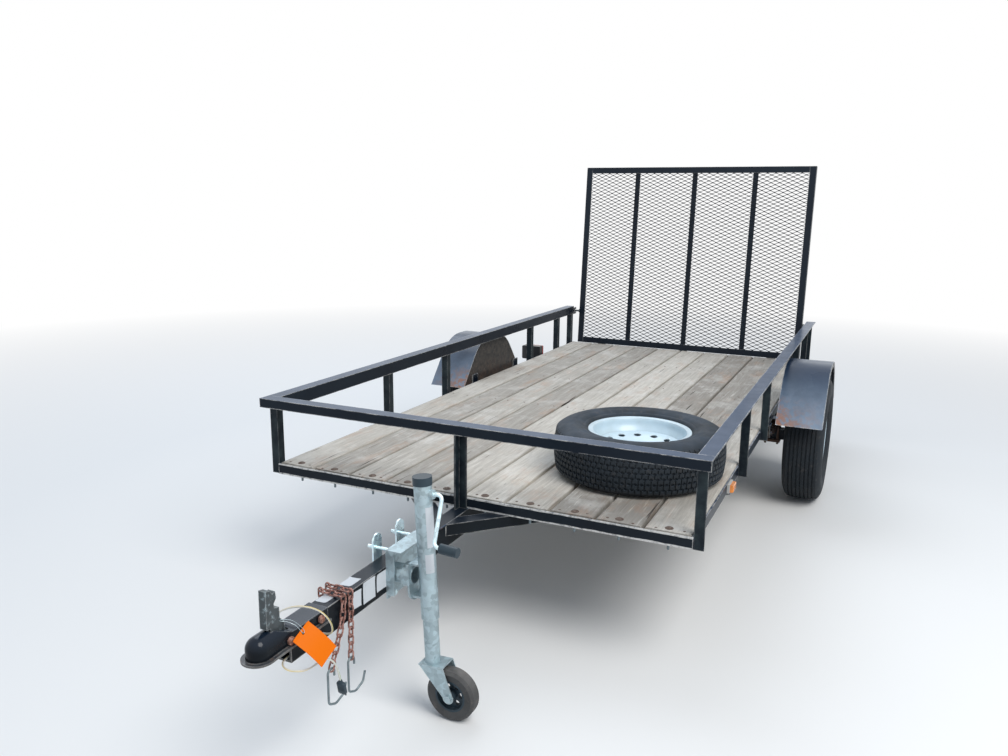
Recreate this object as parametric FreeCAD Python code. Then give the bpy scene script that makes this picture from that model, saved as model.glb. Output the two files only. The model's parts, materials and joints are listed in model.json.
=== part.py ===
import FreeCAD, Part
import math
import os

from FreeCAD import Placement, Rotation, Vector

# Utility trailer, millimetres. While it is modelled, X is 0 at the front of the bed and runs forward to the
# coupler, Y runs to the left, and Z is 0 at the floor. At the end all of it moves along X, so that the origin
# lies on the floor at the middle of the whole trailer.

# Bed
bed_length = 3048.0
bed_width = 1524.0
tyre_radius = 303.0
bed_over_axle = 125.0
bed_height = tyre_radius + bed_over_axle
frame_leg = 38.1
frame_wall = 4.8
plank_count = 10
plank_thick = 38.1
plank_gap = 6.9
plank_end_gap = 2.0
plank_side_gap = 1.15
planks_width = bed_width - 2 * (frame_wall + plank_side_gap)
plank_width = (planks_width - (plank_count - 1) * plank_gap) / plank_count
crossmember_count = 4
crossmember_first = 650.0
crossmember_pitch = 600.0

# Posts and top rails
rail_height = 287.0
rail_flange = 50.8
rail_side_leg = 50.8
rail_front_leg = 33.0
rail_wall = 4.8
post_leg = 31.75
post_wall = 4.8
centre_post_y = -12.0
post_shares = [0.24442, 0.41732, 0.76444, 0.90879]
post_stations = [5.0] + [bed_length * share for share in post_shares] + [bed_length - 32.0]

# Tongue and the two slanting braces beside it
tongue_width = 50.8
tongue_height = 76.2
tongue_wall = 4.8
tongue_front = 893.0
brace_flange = 50.8
brace_leg = 38.1
brace_start = 152.0
brace_run = 790.27
brace_spread = bed_width / 2 - frame_wall - tongue_width / 2
brace_angle = math.degrees(math.atan2(brace_spread, brace_run))
brace_wall = 4.8

# Axle, springs and wheels
axle_share = 631 / 1016
axle_station = bed_length * axle_share
axle_size = 50.8
axle_wall = 6.0
spindle_radius = 17.0
spring_track = bed_width / 2 - 19.0
spring_width = 44.5
spring_span = 660.0
leaf_thick = 7.0
spring_arch = 42.0
wheel_reach = 167.0
wheel_track = spring_track + wheel_reach
tyre_width = 178.0
tread_width = 136.0
rim_radius = 165.5
rim_flange_radius = 183.0
rim_width = 132.0
rim_wall = 3.5
vent_count = 12
vent_circle = 118.0
stud_count = 5
stud_circle = 57.15
stud_radius = 6.35
running_gap = 0.3
seat_gap = 0.3

# Fenders
fender_end_gap = 47.0
fender_length = 2 * (tyre_radius + fender_end_gap)
fender_top_length = 300.0
fender_width = 200.0
fender_forward = 35.0
fender_low = 14.0
fender_top = rail_height - 33.0
fender_bend = 258.0
fender_wall = 2.5
fender_lip = 24.0

# Lamps
lamp_share = 105 / 127
lamp_station = bed_length * lamp_share
lamp_width = 122.0
lamp_height = 84.0
lamp_side_share = 70 / 122
marker_station = 560.0
fender_bracket_reach = 262.0

# Gate, upright at the rear and leaning back a little
gate_width = bed_width - 66.0
gate_height = 1196.0
gate_leg = 38.1
gate_wall = 4.0
gate_lean = 4.7
gate_set_back = 34.0
gate_pivot_height = 19.0
gate_lift = 19.0
gate_bar_count = 3
gate_bar_leg = 31.75
gate_bar_pitch = 376.0
mesh_long = 106.0
mesh_short = 48.0
mesh_strand = 4.5
mesh_thick = 3.0
hinge_pin_radius = 7.0
hinge_barrel_radius = 12.0
hinge_spread = 560.0
latch_height = 250.0
latch_radius = 6.0

# Spare wheel on the deck
spare_x = -499.0
spare_side_reach = 312.0
spare_y = bed_width / 2 - spare_side_reach

# Coupler, for a ball of 50.8
ball_radius = 25.4
ball_clearance = 0.5
socket_wall = 3.6
coupler_x = 973.0
coupler_drop = 2.5
coupler_lip = 10.5
coupler_lip_wall = 5.0
coupler_lip_drop = 29.5
coupler_wall = 3.3
coupler_rear = 756.0
coupler_nose = 886.0
coupler_latch_x = 899.0
coupler_latch_z = bed_height - 13.5
coupler_bolt_x = 786.0
coupler_bolt_z = bed_height - 13.5
coupler_bolt_radius = 5.0
latch_width = 20.0
latch_top = 127.0

# Safety chains. A row holds the station on the tongue, how far each link turns forward from the one above
# it, and the steepest that the chain gets, both in degrees.
chain_wire = 5.0
chain_inner_width = 9.0
chain_play = 0.9
chain_far_links = 2
chain_near_links = 9
chain_hang = [(670.0, 0.5, 3.0), (700.0, 6.0, 27.0)]
hook_wire = 6.0

# Wiring, as the corners of each wire bundle's route: X, Y and the height above the bed's underside.
harness_radius = 2.5
harness_loop = [
    (775, 25.4, -58),
    (776, 56, -56),
    (787, 65, -17),
    (806, 48, 23),
    (828, 4, 36),
    (848, -38, 24),
    (860, -58, 2),
    (864, -52, -14),
    (864, -29.5, -14),
]
harness_lead = [
    (881, 8, -68.7),
    (912, 10, -67),
    (925, 34, -74),
    (904, 54, -84),
    (874, 60, -93),
    (840, 61, -94),
    (806, 61, -100),
    (778, 61, -126),
    (762, 60, -162),
    (752, 58, -198),
]
plug_size = (12.0, 24.0, 34.0)

# Jack at the side of the tongue, leaning out a little
jack_x = 457.0
jack_y = 140.0
jack_pivot_height = -21.0
jack_lean = 3.1
jack_tube_radius = 25.0
jack_tube_up = 284.0
jack_tube_down = 119.0
jack_leg_radius = 21.5
jack_leg_wall = 3.0
jack_leg_top = 80.0
crank_height = 241.0
crank_drop = 125.0
crank_radius = 5.5
crank_throw = 55.0
crank_reach = 126.0
grip_radius = 14.0
swivel_inner = 27.0
swivel_outer = 34.0
swivel_plate_drop = 70.0
swivel_reach = 22.0
kingpin_radius = 8.0
fork_rise = 88.0
fork_wall = 3.0
fork_gap = 5.5
fork_rear = 30.0
fork_front = 47.0
fork_tip = 16.0
caster_radius = 74.0
caster_width = 45.0
caster_trail = 59.0
caster_hub_radius = 46.0
caster_axle_radius = 6.0
caster_window_count = 6
bracket_x = 300.0
bracket_length = 172.0
bracket_up = 45.0
bracket_down = 95.0
bracket_wall = 5.0
bracket_flange = 50.0
bracket_end_flange = 26.0
strap_width = 42.0
strap_up = 74.0
clamp_bolt_radius = 4.8
bolt_tail = 22.0

half_bed = bed_width / 2
deck_top = bed_height + frame_wall + plank_thick
rail_top = bed_height + rail_height
axle_x = -axle_station
axle_z = tyre_radius
coupler_z = bed_height - coupler_drop
socket_radius = ball_radius + ball_clearance
jack_z = bed_height + jack_pivot_height
gate_x = -bed_length - gate_set_back
gate_z = bed_height + gate_pivot_height


def box(x0, x1, y0, y1, z0, z1):
    low = Vector(min(x0, x1), min(y0, y1), min(z0, z1))
    return Part.makeBox(abs(x1 - x0), abs(y1 - y0), abs(z1 - z0), low)


def rod(start, end, radius):
    start, end = Vector(start), Vector(end)
    return Part.makeCylinder(radius, (end - start).Length, start, end - start)


def pipe(start, end, outer, inner):
    return rod(start, end, outer).cut(rod(start, end, inner))


def prism(points, along):
    face = Part.Face(Part.makePolygon([Vector(p) for p in points] + [Vector(points[0])]))
    return face.extrude(Vector(along))


def mirrored(shape):
    return shape.mirror(Vector(0, 0, 0), Vector(0, 1, 0))


def both_sides(shape):
    return [shape, mirrored(shape)]


def fused(first, *others):
    return first.fuse(list(others)).removeSplitter()


def angle_bar(axis, start, end, corner, directions, legs, wall):
    """An angle iron along X, Y or Z. Corner, directions and legs are for the other two axes, in order."""
    (a, b), (da, db), (la, lb) = corner, directions, legs
    outline = [
        (a, b),
        (a + da * la, b),
        (a + da * la, b + db * wall),
        (a + da * wall, b + db * wall),
        (a + da * wall, b + db * lb),
        (a, b + db * lb),
    ]
    run = end - start
    if axis == "X":
        return prism([(start, p, q) for p, q in outline], (run, 0, 0))
    if axis == "Y":
        return prism([(p, start, q) for p, q in outline], (0, run, 0))
    return prism([(p, q, start) for p, q in outline], (0, 0, run))


def rounded_wire(points, radii, closed=False):
    """Straight runs joined by tangent arcs. The first and last radius don't count on an open path."""
    points = [Vector(p) for p in points]
    count = len(points)
    edges = []
    ends = []
    for i, corner in enumerate(points):
        inner = closed or 0 < i < count - 1
        if not inner or radii[i] <= 0:
            ends.append((corner, corner))
            continue
        before = (points[i - 1] - corner).normalize()
        after = (points[(i + 1) % count] - corner).normalize()
        half = before.getAngle(after) / 2
        reach = radii[i] / math.tan(half)
        middle = (before + after).normalize()
        top = corner + middle * (radii[i] / math.sin(half) - radii[i])
        ends.append((corner + before * reach, corner + after * reach, top))
    for i in range(count if closed else count - 1):
        here, there = ends[i], ends[(i + 1) % count]
        if len(here) == 3 and (closed or i > 0):
            edges.append(Part.Arc(here[0], here[2], here[1]).toShape())
        if (there[0] - here[1]).Length > 0.001:
            edges.append(Part.LineSegment(here[1], there[0]).toShape())
    return Part.Wire(edges)


def revolved(outline, centre, axis, start=(1, 0, 0)):
    """A solid of revolution from (radius, distance along the axis) pairs."""
    axis, across, centre = Vector(axis), Vector(start), Vector(centre)
    points = [centre + across * r + axis * h for r, h in outline]
    face = Part.Face(Part.makePolygon(points + [points[0]]))
    return face.revolve(centre, axis, 360)


# Bed

def bed_end_sills():
    front = angle_bar("Y", -half_bed, half_bed, (0, bed_height), (-1, 1), (frame_leg, frame_leg), frame_wall)
    rear = angle_bar(
        "Y", -half_bed, half_bed, (-bed_length, bed_height), (1, 1), (frame_leg, frame_leg), frame_wall
    )
    return [front, rear]


def bed_side_rails():
    rail = angle_bar(
        "X", -bed_length, 0, (half_bed, bed_height), (-1, 1), (frame_leg, frame_leg), frame_wall
    )
    rail = rail.cut(Part.makeCompound(bed_end_sills()))
    return both_sides(rail)


def crossmembers():
    bars = []
    half = half_bed - frame_leg
    for i in range(crossmember_count):
        x = -crossmember_first - i * crossmember_pitch
        bars.append(
            angle_bar(
                "Y", -half, half, (x, bed_height + frame_wall), (-1, -1), (frame_leg, frame_leg), frame_wall
            )
        )
    return bars


def deck_planks():
    pitch = plank_width + plank_gap
    first = -(plank_count * plank_width + (plank_count - 1) * plank_gap) / 2
    low = bed_height + frame_wall
    front = -frame_wall - plank_end_gap
    rear = -bed_length + frame_wall + plank_end_gap
    planks = []
    for i in range(plank_count):
        y = first + i * pitch
        planks.append(box(rear, front, y, y + plank_width, low, deck_top))
    return planks


# Posts and top rails

def top_rail_front():
    half = half_bed - rail_wall + rail_flange
    front = post_leg
    return [
        angle_bar(
            "Y", -half, half, (front, rail_top), (-1, -1), (rail_flange, rail_front_leg), rail_wall
        )
    ]


def top_rails_side():
    inner = half_bed - rail_wall
    front = post_leg - rail_flange
    rail = angle_bar(
        "X", -bed_length, front, (inner, rail_top), (1, -1), (rail_flange, rail_side_leg), rail_wall
    )
    return both_sides(rail)


def rail_posts():
    top = rail_top - rail_wall
    posts = []
    for station in post_stations:
        post = angle_bar(
            "Z", bed_height, top, (-station, half_bed), (-1, 1), (post_leg, post_leg), post_wall
        )
        posts += both_sides(post)
    centre = angle_bar(
        "Z", bed_height, top, (0, centre_post_y), (1, 1), (post_leg, post_leg), post_wall
    )
    posts.append(centre.cut(top_rail_front()[0]))
    return posts


# Tongue

def brace_line(distance):
    """A point on a brace's outer edge, as X and Y."""
    angle = math.radians(brace_angle)
    start_y = tongue_width / 2 + 3.0
    return brace_start - distance * math.cos(angle), start_y + distance * math.sin(angle)


def tongue_tube():
    half = tongue_width / 2
    rear = -crossmember_first
    low, high = bed_height - tongue_height, bed_height
    outer = box(rear, tongue_front, -half, half, low, high)
    hollow = box(
        rear, tongue_front, -half + tongue_wall, half - tongue_wall, low + tongue_wall, high - tongue_wall
    )
    notch_half = latch_width / 2 + 1.5
    notch = box(
        coupler_latch_x - 18, tongue_front + 1, -notch_half, notch_half, high - tongue_wall - 1, high + 1
    )
    return [outer.cut([hollow, notch] + coupler_bolt_rods())]


def tongue_braces():
    angle = math.radians(brace_angle)
    length = brace_spread / math.sin(angle)
    brace = angle_bar(
        "X", -length, 60.0, (0, bed_height), (-1, -1), (brace_flange, brace_leg), brace_wall
    )
    brace.rotate(Vector(0, 0, 0), Vector(0, 0, 1), -brace_angle)
    start_x, start_y = brace_line(0)
    brace.translate(Vector(start_x, start_y, 0))
    half = tongue_width / 2
    keep = box(-crossmember_first, brace_start + 60, half, half_bed - frame_wall, 0, bed_height)
    return both_sides(brace.common(keep))


# Running gear

def tyre(centre):
    """A tyre round the Y axis: crowned tread, arched side walls and beads that sit in the rim."""
    half_tread, half_width, half_bead = tread_width / 2, tyre_width / 2, rim_width / 2 - seat_gap
    bead = rim_radius + seat_gap
    widest = (tyre_radius + rim_radius) / 2 + 8
    shoulder = tyre_radius - 7
    side = [
        (tyre_radius, 0),
        (shoulder, half_tread),
        (widest, half_width),
        (rim_flange_radius + 4, half_bead + 7),
        (rim_flange_radius + 1, half_bead),
        (bead, half_bead),
    ]
    edges = [
        Part.Arc(
            Vector(shoulder, -half_tread, 0), Vector(tyre_radius, 0, 0), Vector(shoulder, half_tread, 0)
        ).toShape(),
    ]
    for sign in (1, -1):
        crest = Vector(widest, sign * half_width, 0)
        for end in (side[1], side[3]):
            middle = side_wall_middle((widest, half_width), end)
            edges.append(Part.Arc(crest, _flat(middle, sign), _flat(end, sign)).toShape())
        for first, second in ((3, 4), (4, 5)):
            edges.append(Part.LineSegment(_flat(side[first], sign), _flat(side[second], sign)).toShape())
    edges.append(Part.LineSegment(_flat(side[5], 1), _flat(side[5], -1)).toShape())
    face = Part.Face(Part.Wire(Part.__sortEdges__(edges)))
    solid = face.revolve(Vector(0, 0, 0), Vector(0, 1, 0), 360)
    solid.translate(Vector(centre))
    return solid


def _flat(pair, sign):
    return Vector(pair[0], sign * pair[1], 0)


def side_wall_middle(crest, end):
    """The middle of an arc that leaves the crest along the radius, so that the crest is the widest place."""
    along, across = end[0] - crest[0], end[1] - crest[1]
    radius = (along * along + across * across) / (-2 * across)
    half = math.asin(along / radius) / 2
    return crest[0] + radius * math.sin(half), crest[1] - radius + radius * math.cos(half)


def rim(centre, outward):
    """A pressed steel wheel round the Y axis. Its face looks towards +Y if outward is 1, else towards -Y."""
    half, flange, wall = rim_width / 2, rim_width / 2 + rim_wall, rim_wall
    seat, drop = rim_radius, rim_radius - 17
    barrel = [
        (rim_flange_radius, -flange), (rim_flange_radius, -half), (seat, -half), (seat, -40), (drop, -28),
        (drop, 28), (seat, 40), (seat, half), (rim_flange_radius, half), (rim_flange_radius, flange),
        (seat - wall, flange), (seat - wall, 42), (drop - wall, 30), (drop - wall, -30),
        (seat - wall, -42), (seat - wall, -flange),
    ]
    edge = drop - wall + 0.5
    disc = [
        (edge, 2), (edge, 2 + wall), (vent_circle + 14, 14 + wall), (vent_circle - 16, 17 + wall),
        (80, 8 + wall), (72, wall), (34, wall), (34, 0), (73, 0), (82, 8), (vent_circle - 16, 17),
        (vent_circle + 14, 14),
    ]
    body = fused(revolved(barrel, (0, 0, 0), (0, 1, 0)), revolved(disc, (0, 0, 0), (0, 1, 0)))
    cutters = []
    for i in range(vent_count):
        turn = Rotation(Vector(0, 1, 0), 360.0 * i / vent_count)
        slot = [rod((vent_circle, -5, z), (vent_circle, 40, z), 8.5) for z in (-8, 8)]
        slot.append(box(vent_circle - 8.5, vent_circle + 8.5, -5, 40, -8, 8))
        cutter = slot[0].fuse(slot[1:])
        cutter.Placement = Placement(Vector(), turn)
        cutters.append(cutter)
    for i in range(stud_count):
        turn = math.radians(360.0 * i / stud_count)
        x, z = stud_circle * math.cos(turn), stud_circle * math.sin(turn)
        cutters.append(rod((x, -5, z), (x, 30, z), stud_radius + 0.5))
    body = body.cut(cutters)
    if outward < 0:
        body = mirrored(body)
    body.translate(Vector(centre))
    return body


def hub(side):
    """Brake-less hub on the spindle: barrel, flange with studs and nuts, and a dust cap."""
    y = side * wheel_track
    face, back = y - side * seat_gap, y - side * 62
    bore = spindle_radius + running_gap
    body = rod((axle_x, back, axle_z), (axle_x, y + side * 32, axle_z), 31)
    flange = rod((axle_x, y - side * 9, axle_z), (axle_x, face, axle_z), 71)
    cap = rod((axle_x, y + side * 32, axle_z), (axle_x, y + side * 48, axle_z), 24)
    studs = []
    for i in range(stud_count):
        turn = math.radians(360.0 * i / stud_count)
        x, z = axle_x + stud_circle * math.cos(turn), axle_z + stud_circle * math.sin(turn)
        studs.append(rod((x, y - side * 9, z), (x, y + side * 24, z), stud_radius))
        nut = rod((x, y + side * (rim_wall + seat_gap), z), (x, y + side * 19, z), 10)
        studs.append(nut)
    hollow = rod((axle_x, back, axle_z), (axle_x, y + side * 26, axle_z), bore)
    return [fused(body, flange, cap, *studs).cut(hollow)]


def axle_beam():
    end = wheel_track - 62 - 4
    half = axle_size / 2
    beam = box(axle_x - half, axle_x + half, -end, end, axle_z - half, axle_z + half)
    inner = half - axle_wall
    beam = beam.cut(box(axle_x - inner, axle_x + inner, -end + 60, end - 60, axle_z - inner, axle_z + inner))
    spindles = []
    for side in (1, -1):
        tip = side * (wheel_track + 24)
        spindles.append(rod((axle_x, side * (end - 20), axle_z), (axle_x, tip, axle_z), spindle_radius))
    return [fused(beam, *spindles)]


def leaf_springs():
    """Each spring has a main leaf with an eye at each end, and two shorter leaves under it."""
    seat = axle_z + axle_size / 2
    eye_z = seat + 3 * leaf_thick + spring_arch
    half = spring_span / 2
    leaves = []
    for i, share in enumerate((1.0, 0.72, 0.45)):
        low = seat + (2 - i) * leaf_thick
        reach = half * share
        rise = spring_arch * share * share
        wire = []
        for lift in (0, leaf_thick):
            ends = [Vector(axle_x + sign * reach, 0, low + rise + lift) for sign in (-1, 1)]
            wire.append(Part.Arc(ends[0], Vector(axle_x, 0, low + lift), ends[1]).toShape())
        wire.append(Part.LineSegment(wire[0].Vertexes[0].Point, wire[1].Vertexes[0].Point).toShape())
        wire.append(Part.LineSegment(wire[0].Vertexes[-1].Point, wire[1].Vertexes[-1].Point).toShape())
        face = Part.Face(Part.Wire(Part.__sortEdges__(wire)))
        leaf = face.extrude(Vector(0, spring_width, 0))
        leaf.translate(Vector(0, spring_track - spring_width / 2, 0))
        leaves.append(leaf)
    low_y, high_y = spring_track - spring_width / 2, spring_track + spring_width / 2
    for sign in (-1, 1):
        x = axle_x + sign * half
        eye = pipe((x, low_y, eye_z - 5), (x, high_y, eye_z - 5), 15, 8)
        leaves[0] = leaves[0].cut(rod((x, low_y, eye_z - 5), (x, high_y, eye_z - 5), 14.5))
        leaves.append(eye)
    return both_sides(fused(leaves[0], *leaves[1:]))


def spring_hangers():
    """Two ears under the side rail at each spring eye, with the bolt that the eye hangs on."""
    eye_z = axle_z + axle_size / 2 + 3 * leaf_thick + spring_arch - 5
    low_y, high_y = spring_track - spring_width / 2 - 1, spring_track + spring_width / 2 + 1
    ears = []
    for sign in (-1, 1):
        x = axle_x + sign * spring_span / 2
        bolt = rod((x, low_y - 12, eye_z), (x, high_y + 12, eye_z), 7.5)
        outline = [(x - 26, bed_height), (x + 26, bed_height), (x + 17, eye_z - 18), (x - 17, eye_z - 18)]
        plates = []
        for y in (low_y - 5, high_y):
            plates.append(prism([(px, y, pz) for px, pz in outline], (0, 5, 0)))
        roof = box(x - 26, x + 26, low_y - 5, high_y + 5, bed_height - 5, bed_height)
        ears += both_sides(fused(roof, bolt, *plates))
    return ears


def axle_u_bolts():
    """Two U-bolts and a plate hold each spring down on the axle beam."""
    half, seat = axle_size / 2, axle_z + axle_size / 2
    top = seat + 3 * leaf_thick
    low = axle_z - half - 12
    clamp = []
    for sign in (-1, 1):
        x = axle_x + sign * (half + 7)
        inner, outer = spring_track - spring_width / 2 - 6.5, spring_track + spring_width / 2 + 6.5
        for y in (inner, outer):
            clamp.append(rod((x, y, low - 10), (x, y, top + 6), 5.5))
        clamp.append(rod((x, inner, top + 6), (x, outer, top + 6), 5.5))
    plate = box(axle_x - 44, axle_x + 44, spring_track - 40, spring_track + 40, low, axle_z - half)
    plate = plate.fuse(clamp)
    return both_sides(plate.removeSplitter())


def fender_profile(inset):
    """The fender's side outline, drawn in by the sheet's thickness for the inner face."""
    low, middle = bed_height + fender_low, axle_x + fender_forward
    half, half_top = fender_length / 2, fender_top_length / 2
    rise = math.atan2(fender_top - fender_low, half - half_top)
    slope_shift = inset / math.sin(rise)
    top = bed_height + fender_top - inset
    top_shift = inset * math.tan(rise / 2)
    points = [
        (middle - half + slope_shift, 0, low),
        (middle - half_top + top_shift, 0, top),
        (middle + half_top - top_shift, 0, top),
        (middle + half - slope_shift, 0, low),
    ]
    radius = fender_bend - inset
    return points, [0, radius, radius, 0]


def fender():
    """Bent sheet over the wheel, with a flat back plate against the posts and a lip down the outer edge."""
    inner_y = half_bed + post_leg + seat_gap
    outer_y = inner_y + fender_width
    faces = []
    for inset in (0, fender_wall, fender_lip):
        points, radii = fender_profile(inset)
        path = rounded_wire(points, radii)
        base = Part.LineSegment(Vector(points[-1]), Vector(points[0])).toShape()
        faces.append(Part.Face(Part.Wire(path.Edges + [base])))
    whole = faces[0].extrude(Vector(0, fender_width, 0))
    hollow = faces[1].extrude(Vector(0, fender_width, 0))
    lip_hole = faces[2].extrude(Vector(0, fender_width, 0))
    whole.translate(Vector(0, inner_y, 0))
    hollow.translate(Vector(0, inner_y + fender_wall, 0))
    lip_hole.translate(Vector(0, inner_y + fender_wall, 0))
    rear, front = axle_x - fender_length, axle_x + fender_length
    inside = box(rear, front, inner_y, outer_y - fender_wall, 0, 2 * rail_top)
    skin = whole.cut(hollow.common(inside))
    return skin.cut(lip_hole)


def fender_brackets():
    """Short angles that carry each fender's back plate from the side rail."""
    brackets = []
    outer = half_bed + post_leg
    low = bed_height + 14
    for x in (axle_x - fender_bracket_reach, axle_x + fender_bracket_reach):
        foot = box(x - 30, x + 30, half_bed, outer, low, low + 5)
        upright = box(x - 30, x + 30, outer - 5, outer, low, bed_height + fender_low + 55)
        brackets += both_sides(fused(foot, upright))
    return brackets


def tail_lamp_brackets():
    x, low = -lamp_station, bed_height + 4
    plate = box(x - 3, x, half_bed, half_bed + 70, low, low + 32)
    foot = box(x - 3, x + 34, half_bed, half_bed + 3, low, low + 32)
    return both_sides(fused(plate, foot))


def tail_lamps():
    x, low = -lamp_station, bed_height + 6
    y = half_bed + 5
    body = box(x, x + 42, y, y + lamp_width, low, low + lamp_height)
    body = body.makeFillet(8, [e for e in body.Edges if abs(e.Vertexes[0].X - e.Vertexes[-1].X) > 1])
    return both_sides(body)


def tail_lamp_lenses():
    x, low = -lamp_station - 3, bed_height + 6
    y = half_bed + 5
    lens = box(x - 14, x, y, y + lamp_width, low, low + lamp_height)
    lens = lens.makeFillet(8, [e for e in lens.Edges if abs(e.Vertexes[0].X - e.Vertexes[-1].X) > 1])
    back = box(x, x + 3, y + 4, y + lamp_width - 4, low + 34, low + lamp_height - 4)
    start = y + lamp_width * lamp_side_share
    side = back.fuse(box(x, x + 3, start, y + lamp_width - 4, low + 4, low + lamp_height - 4))
    return both_sides(fused(lens, side))


def side_markers():
    x, y = -marker_station, half_bed
    body = box(x - 32, x + 32, y, y + 9, bed_height + 2, bed_height + 34)
    return both_sides(body)


def side_marker_lenses():
    x, y = -marker_station, half_bed + 9
    lens = box(x - 26, x + 26, y, y + 13, bed_height + 5, bed_height + 31)
    return both_sides(lens.makeFillet(5, [e for e in lens.Edges if e.BoundBox.YMin > y + 12]))


# Gate

def leaned(shape):
    shape.rotate(Vector(gate_x, 0, gate_z), Vector(0, 1, 0), -gate_lean)
    return shape


def gate_stiles():
    half = gate_width / 2
    front = gate_x + gate_leg / 2
    low, high = gate_z + gate_lift, gate_z + gate_height
    stile = angle_bar("Z", low, high, (front, half), (-1, -1), (gate_leg, gate_leg), gate_wall)
    return [leaned(s) for s in both_sides(stile)]


def gate_end_bars():
    half = gate_width / 2
    front = gate_x + gate_leg / 2
    low, high = gate_z + gate_lift, gate_z + gate_height
    stiles = Part.makeCompound(
        both_sides(angle_bar("Z", low, high, (front, half), (-1, -1), (gate_leg, gate_leg), gate_wall))
    )
    top = angle_bar("Y", -half, half, (front, high), (-1, -1), (gate_leg, gate_leg), gate_wall)
    bottom = angle_bar("Y", -half, half, (front, low), (-1, 1), (gate_leg, gate_leg), gate_wall)
    return [leaned(bar.cut(stiles)) for bar in (bottom, top)]


def gate_mesh_front():
    return gate_x + gate_leg / 2 - gate_wall


def gate_mesh():
    """Two layers of slanting strands in a thin border: the openings of expanded sheet."""
    half = gate_width / 2 - gate_wall - seat_gap
    low = gate_z + gate_lift + gate_wall + seat_gap
    high = gate_z + gate_height - gate_wall - seat_gap
    front = gate_mesh_front()
    border_width = 12.0
    border = box(front - mesh_thick, front, -half, half, low, high)
    window = box(
        front - mesh_thick, front,
        -half + border_width, half - border_width,
        low + border_width, high - border_width,
    )
    border = border.cut(window)
    slope = math.degrees(math.atan2(mesh_short, mesh_long))
    layer = mesh_thick / 2 - 0.1
    reach = border_width / 2
    field = box(front - mesh_thick, front, -half + reach, half - reach, low + reach, high - reach)
    rise = mesh_short / mesh_long * 2 * half
    strands = []
    for sign, x in ((1, front - layer), (-1, front - mesh_thick)):
        z = low - rise
        while z < high + rise:
            length = 2 * half / math.cos(math.radians(slope)) + 40
            bar = box(x, x + layer, -length / 2, length / 2, -mesh_strand / 2, mesh_strand / 2)
            bar.rotate(Vector(0, 0, 0), Vector(1, 0, 0), sign * slope)
            bar.translate(Vector(0, 0, z))
            piece = bar.common(field)
            if piece.Volume > 100:
                strands.append(piece)
            z += mesh_short
    return [leaned(border.fuse(strands))]


def gate_uprights():
    front = gate_mesh_front() - mesh_thick
    low, high = gate_z + gate_lift + gate_wall, gate_z + gate_height - gate_wall
    bars = []
    for i in range(gate_bar_count):
        y = (i - (gate_bar_count - 1) / 2) * gate_bar_pitch - gate_bar_leg / 2
        bars.append(angle_bar("Z", low, high, (front, y), (-1, 1), (gate_bar_leg, gate_bar_leg), gate_wall))
    return [leaned(bar) for bar in bars]


def hinge_places():
    return [-hinge_spread, 0.0, hinge_spread]


def gate_hinge_barrels():
    """The gate's share of each hinge: a barrel on the pin, with a web up to the bottom bar."""
    barrels = []
    for y in hinge_places():
        barrel = pipe(
            (gate_x, y - 28, gate_z), (gate_x, y + 28, gate_z),
            hinge_barrel_radius, hinge_pin_radius + running_gap,
        )
        web = box(gate_x - 5, gate_x + 5, y - 28, y + 28, gate_z + hinge_pin_radius + 2, gate_z + gate_lift)
        barrels.append(leaned(fused(barrel, web)))
    return barrels


def gate_hinge_lugs():
    """The bed's share of each hinge: two ears behind the rear sill, with the pin between them."""
    lugs = []
    for y in hinge_places():
        pin = rod((gate_x, y - 42, gate_z), (gate_x, y + 42, gate_z), hinge_pin_radius)
        ears = []
        for low in (y - 36, y + 30):
            ear = rod((gate_x, low, gate_z), (gate_x, low + 6, gate_z), hinge_barrel_radius)
            arm = box(
                gate_x, -bed_length, low, low + 6, gate_z - hinge_barrel_radius, gate_z + hinge_barrel_radius
            )
            ears += [ear, arm]
        lugs.append(fused(pin, *ears))
    return lugs


def latch_point():
    """The latch pin's middle, on the leaning gate at the height of the top rails."""
    rise = bed_height + latch_height - gate_z
    return gate_x - rise * math.tan(math.radians(gate_lean)), bed_height + latch_height


def gate_latch_pins():
    x, z = latch_point()
    start, half = gate_width / 2, half_bed + 24
    pin = rod((x, start, z), (x, half, z), latch_radius)
    collar = rod((x, start, z), (x, start + 9, z), latch_radius + 6)
    return both_sides(fused(pin, collar))


def gate_latch_keepers():
    """A plate behind each rear post, with a slot for the latch pin that is open to the rear."""
    x, z = latch_point()
    low_y = half_bed + post_wall
    plate = box(x - 20, -bed_length + 26, low_y, low_y + 5, z - 22, z + 22)
    slot = box(x - 21, x, low_y - 1, low_y + 6, z - latch_radius - 2, z + latch_radius + 2)
    eye = rod((x, low_y - 1, z), (x, low_y + 6, z), latch_radius + 2)
    return both_sides(plate.cut([slot, eye]))


# Spare wheel, lying on the deck with its face up

def laid_down(shape):
    shape.rotate(Vector(0, 0, 0), Vector(1, 0, 0), 90)
    shape.translate(Vector(spare_x, spare_y, deck_top + tyre_width / 2))
    return shape


# Coupler

def coupler_outline(inset):
    """Side outline of the coupler's body, from its rear to the middle of the dome."""
    top = coupler_z + socket_radius + socket_wall - inset
    flat = bed_height + coupler_wall + 0.3 - inset
    low = bed_height - coupler_lip_drop
    nose = coupler_x - 34
    bottom = low - (1 if inset else 0)
    return [
        (coupler_rear - (1 if inset else 0), 0, bottom),
        (coupler_rear - (1 if inset else 0), 0, flat),
        (coupler_nose + inset * 0.4, 0, flat),
        (nose + inset * 0.4, 0, top),
        (coupler_x, 0, top),
        (coupler_x, 0, bottom),
    ]


def coupler_arch(radius, bottom):
    """A tunnel with a round top, as long as the coupler."""
    tunnel = rod((coupler_rear - 2, 0, coupler_z), (coupler_x, 0, coupler_z), radius)
    return tunnel.fuse(box(coupler_rear - 2, coupler_x, -radius, radius, bottom, coupler_z))


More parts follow.
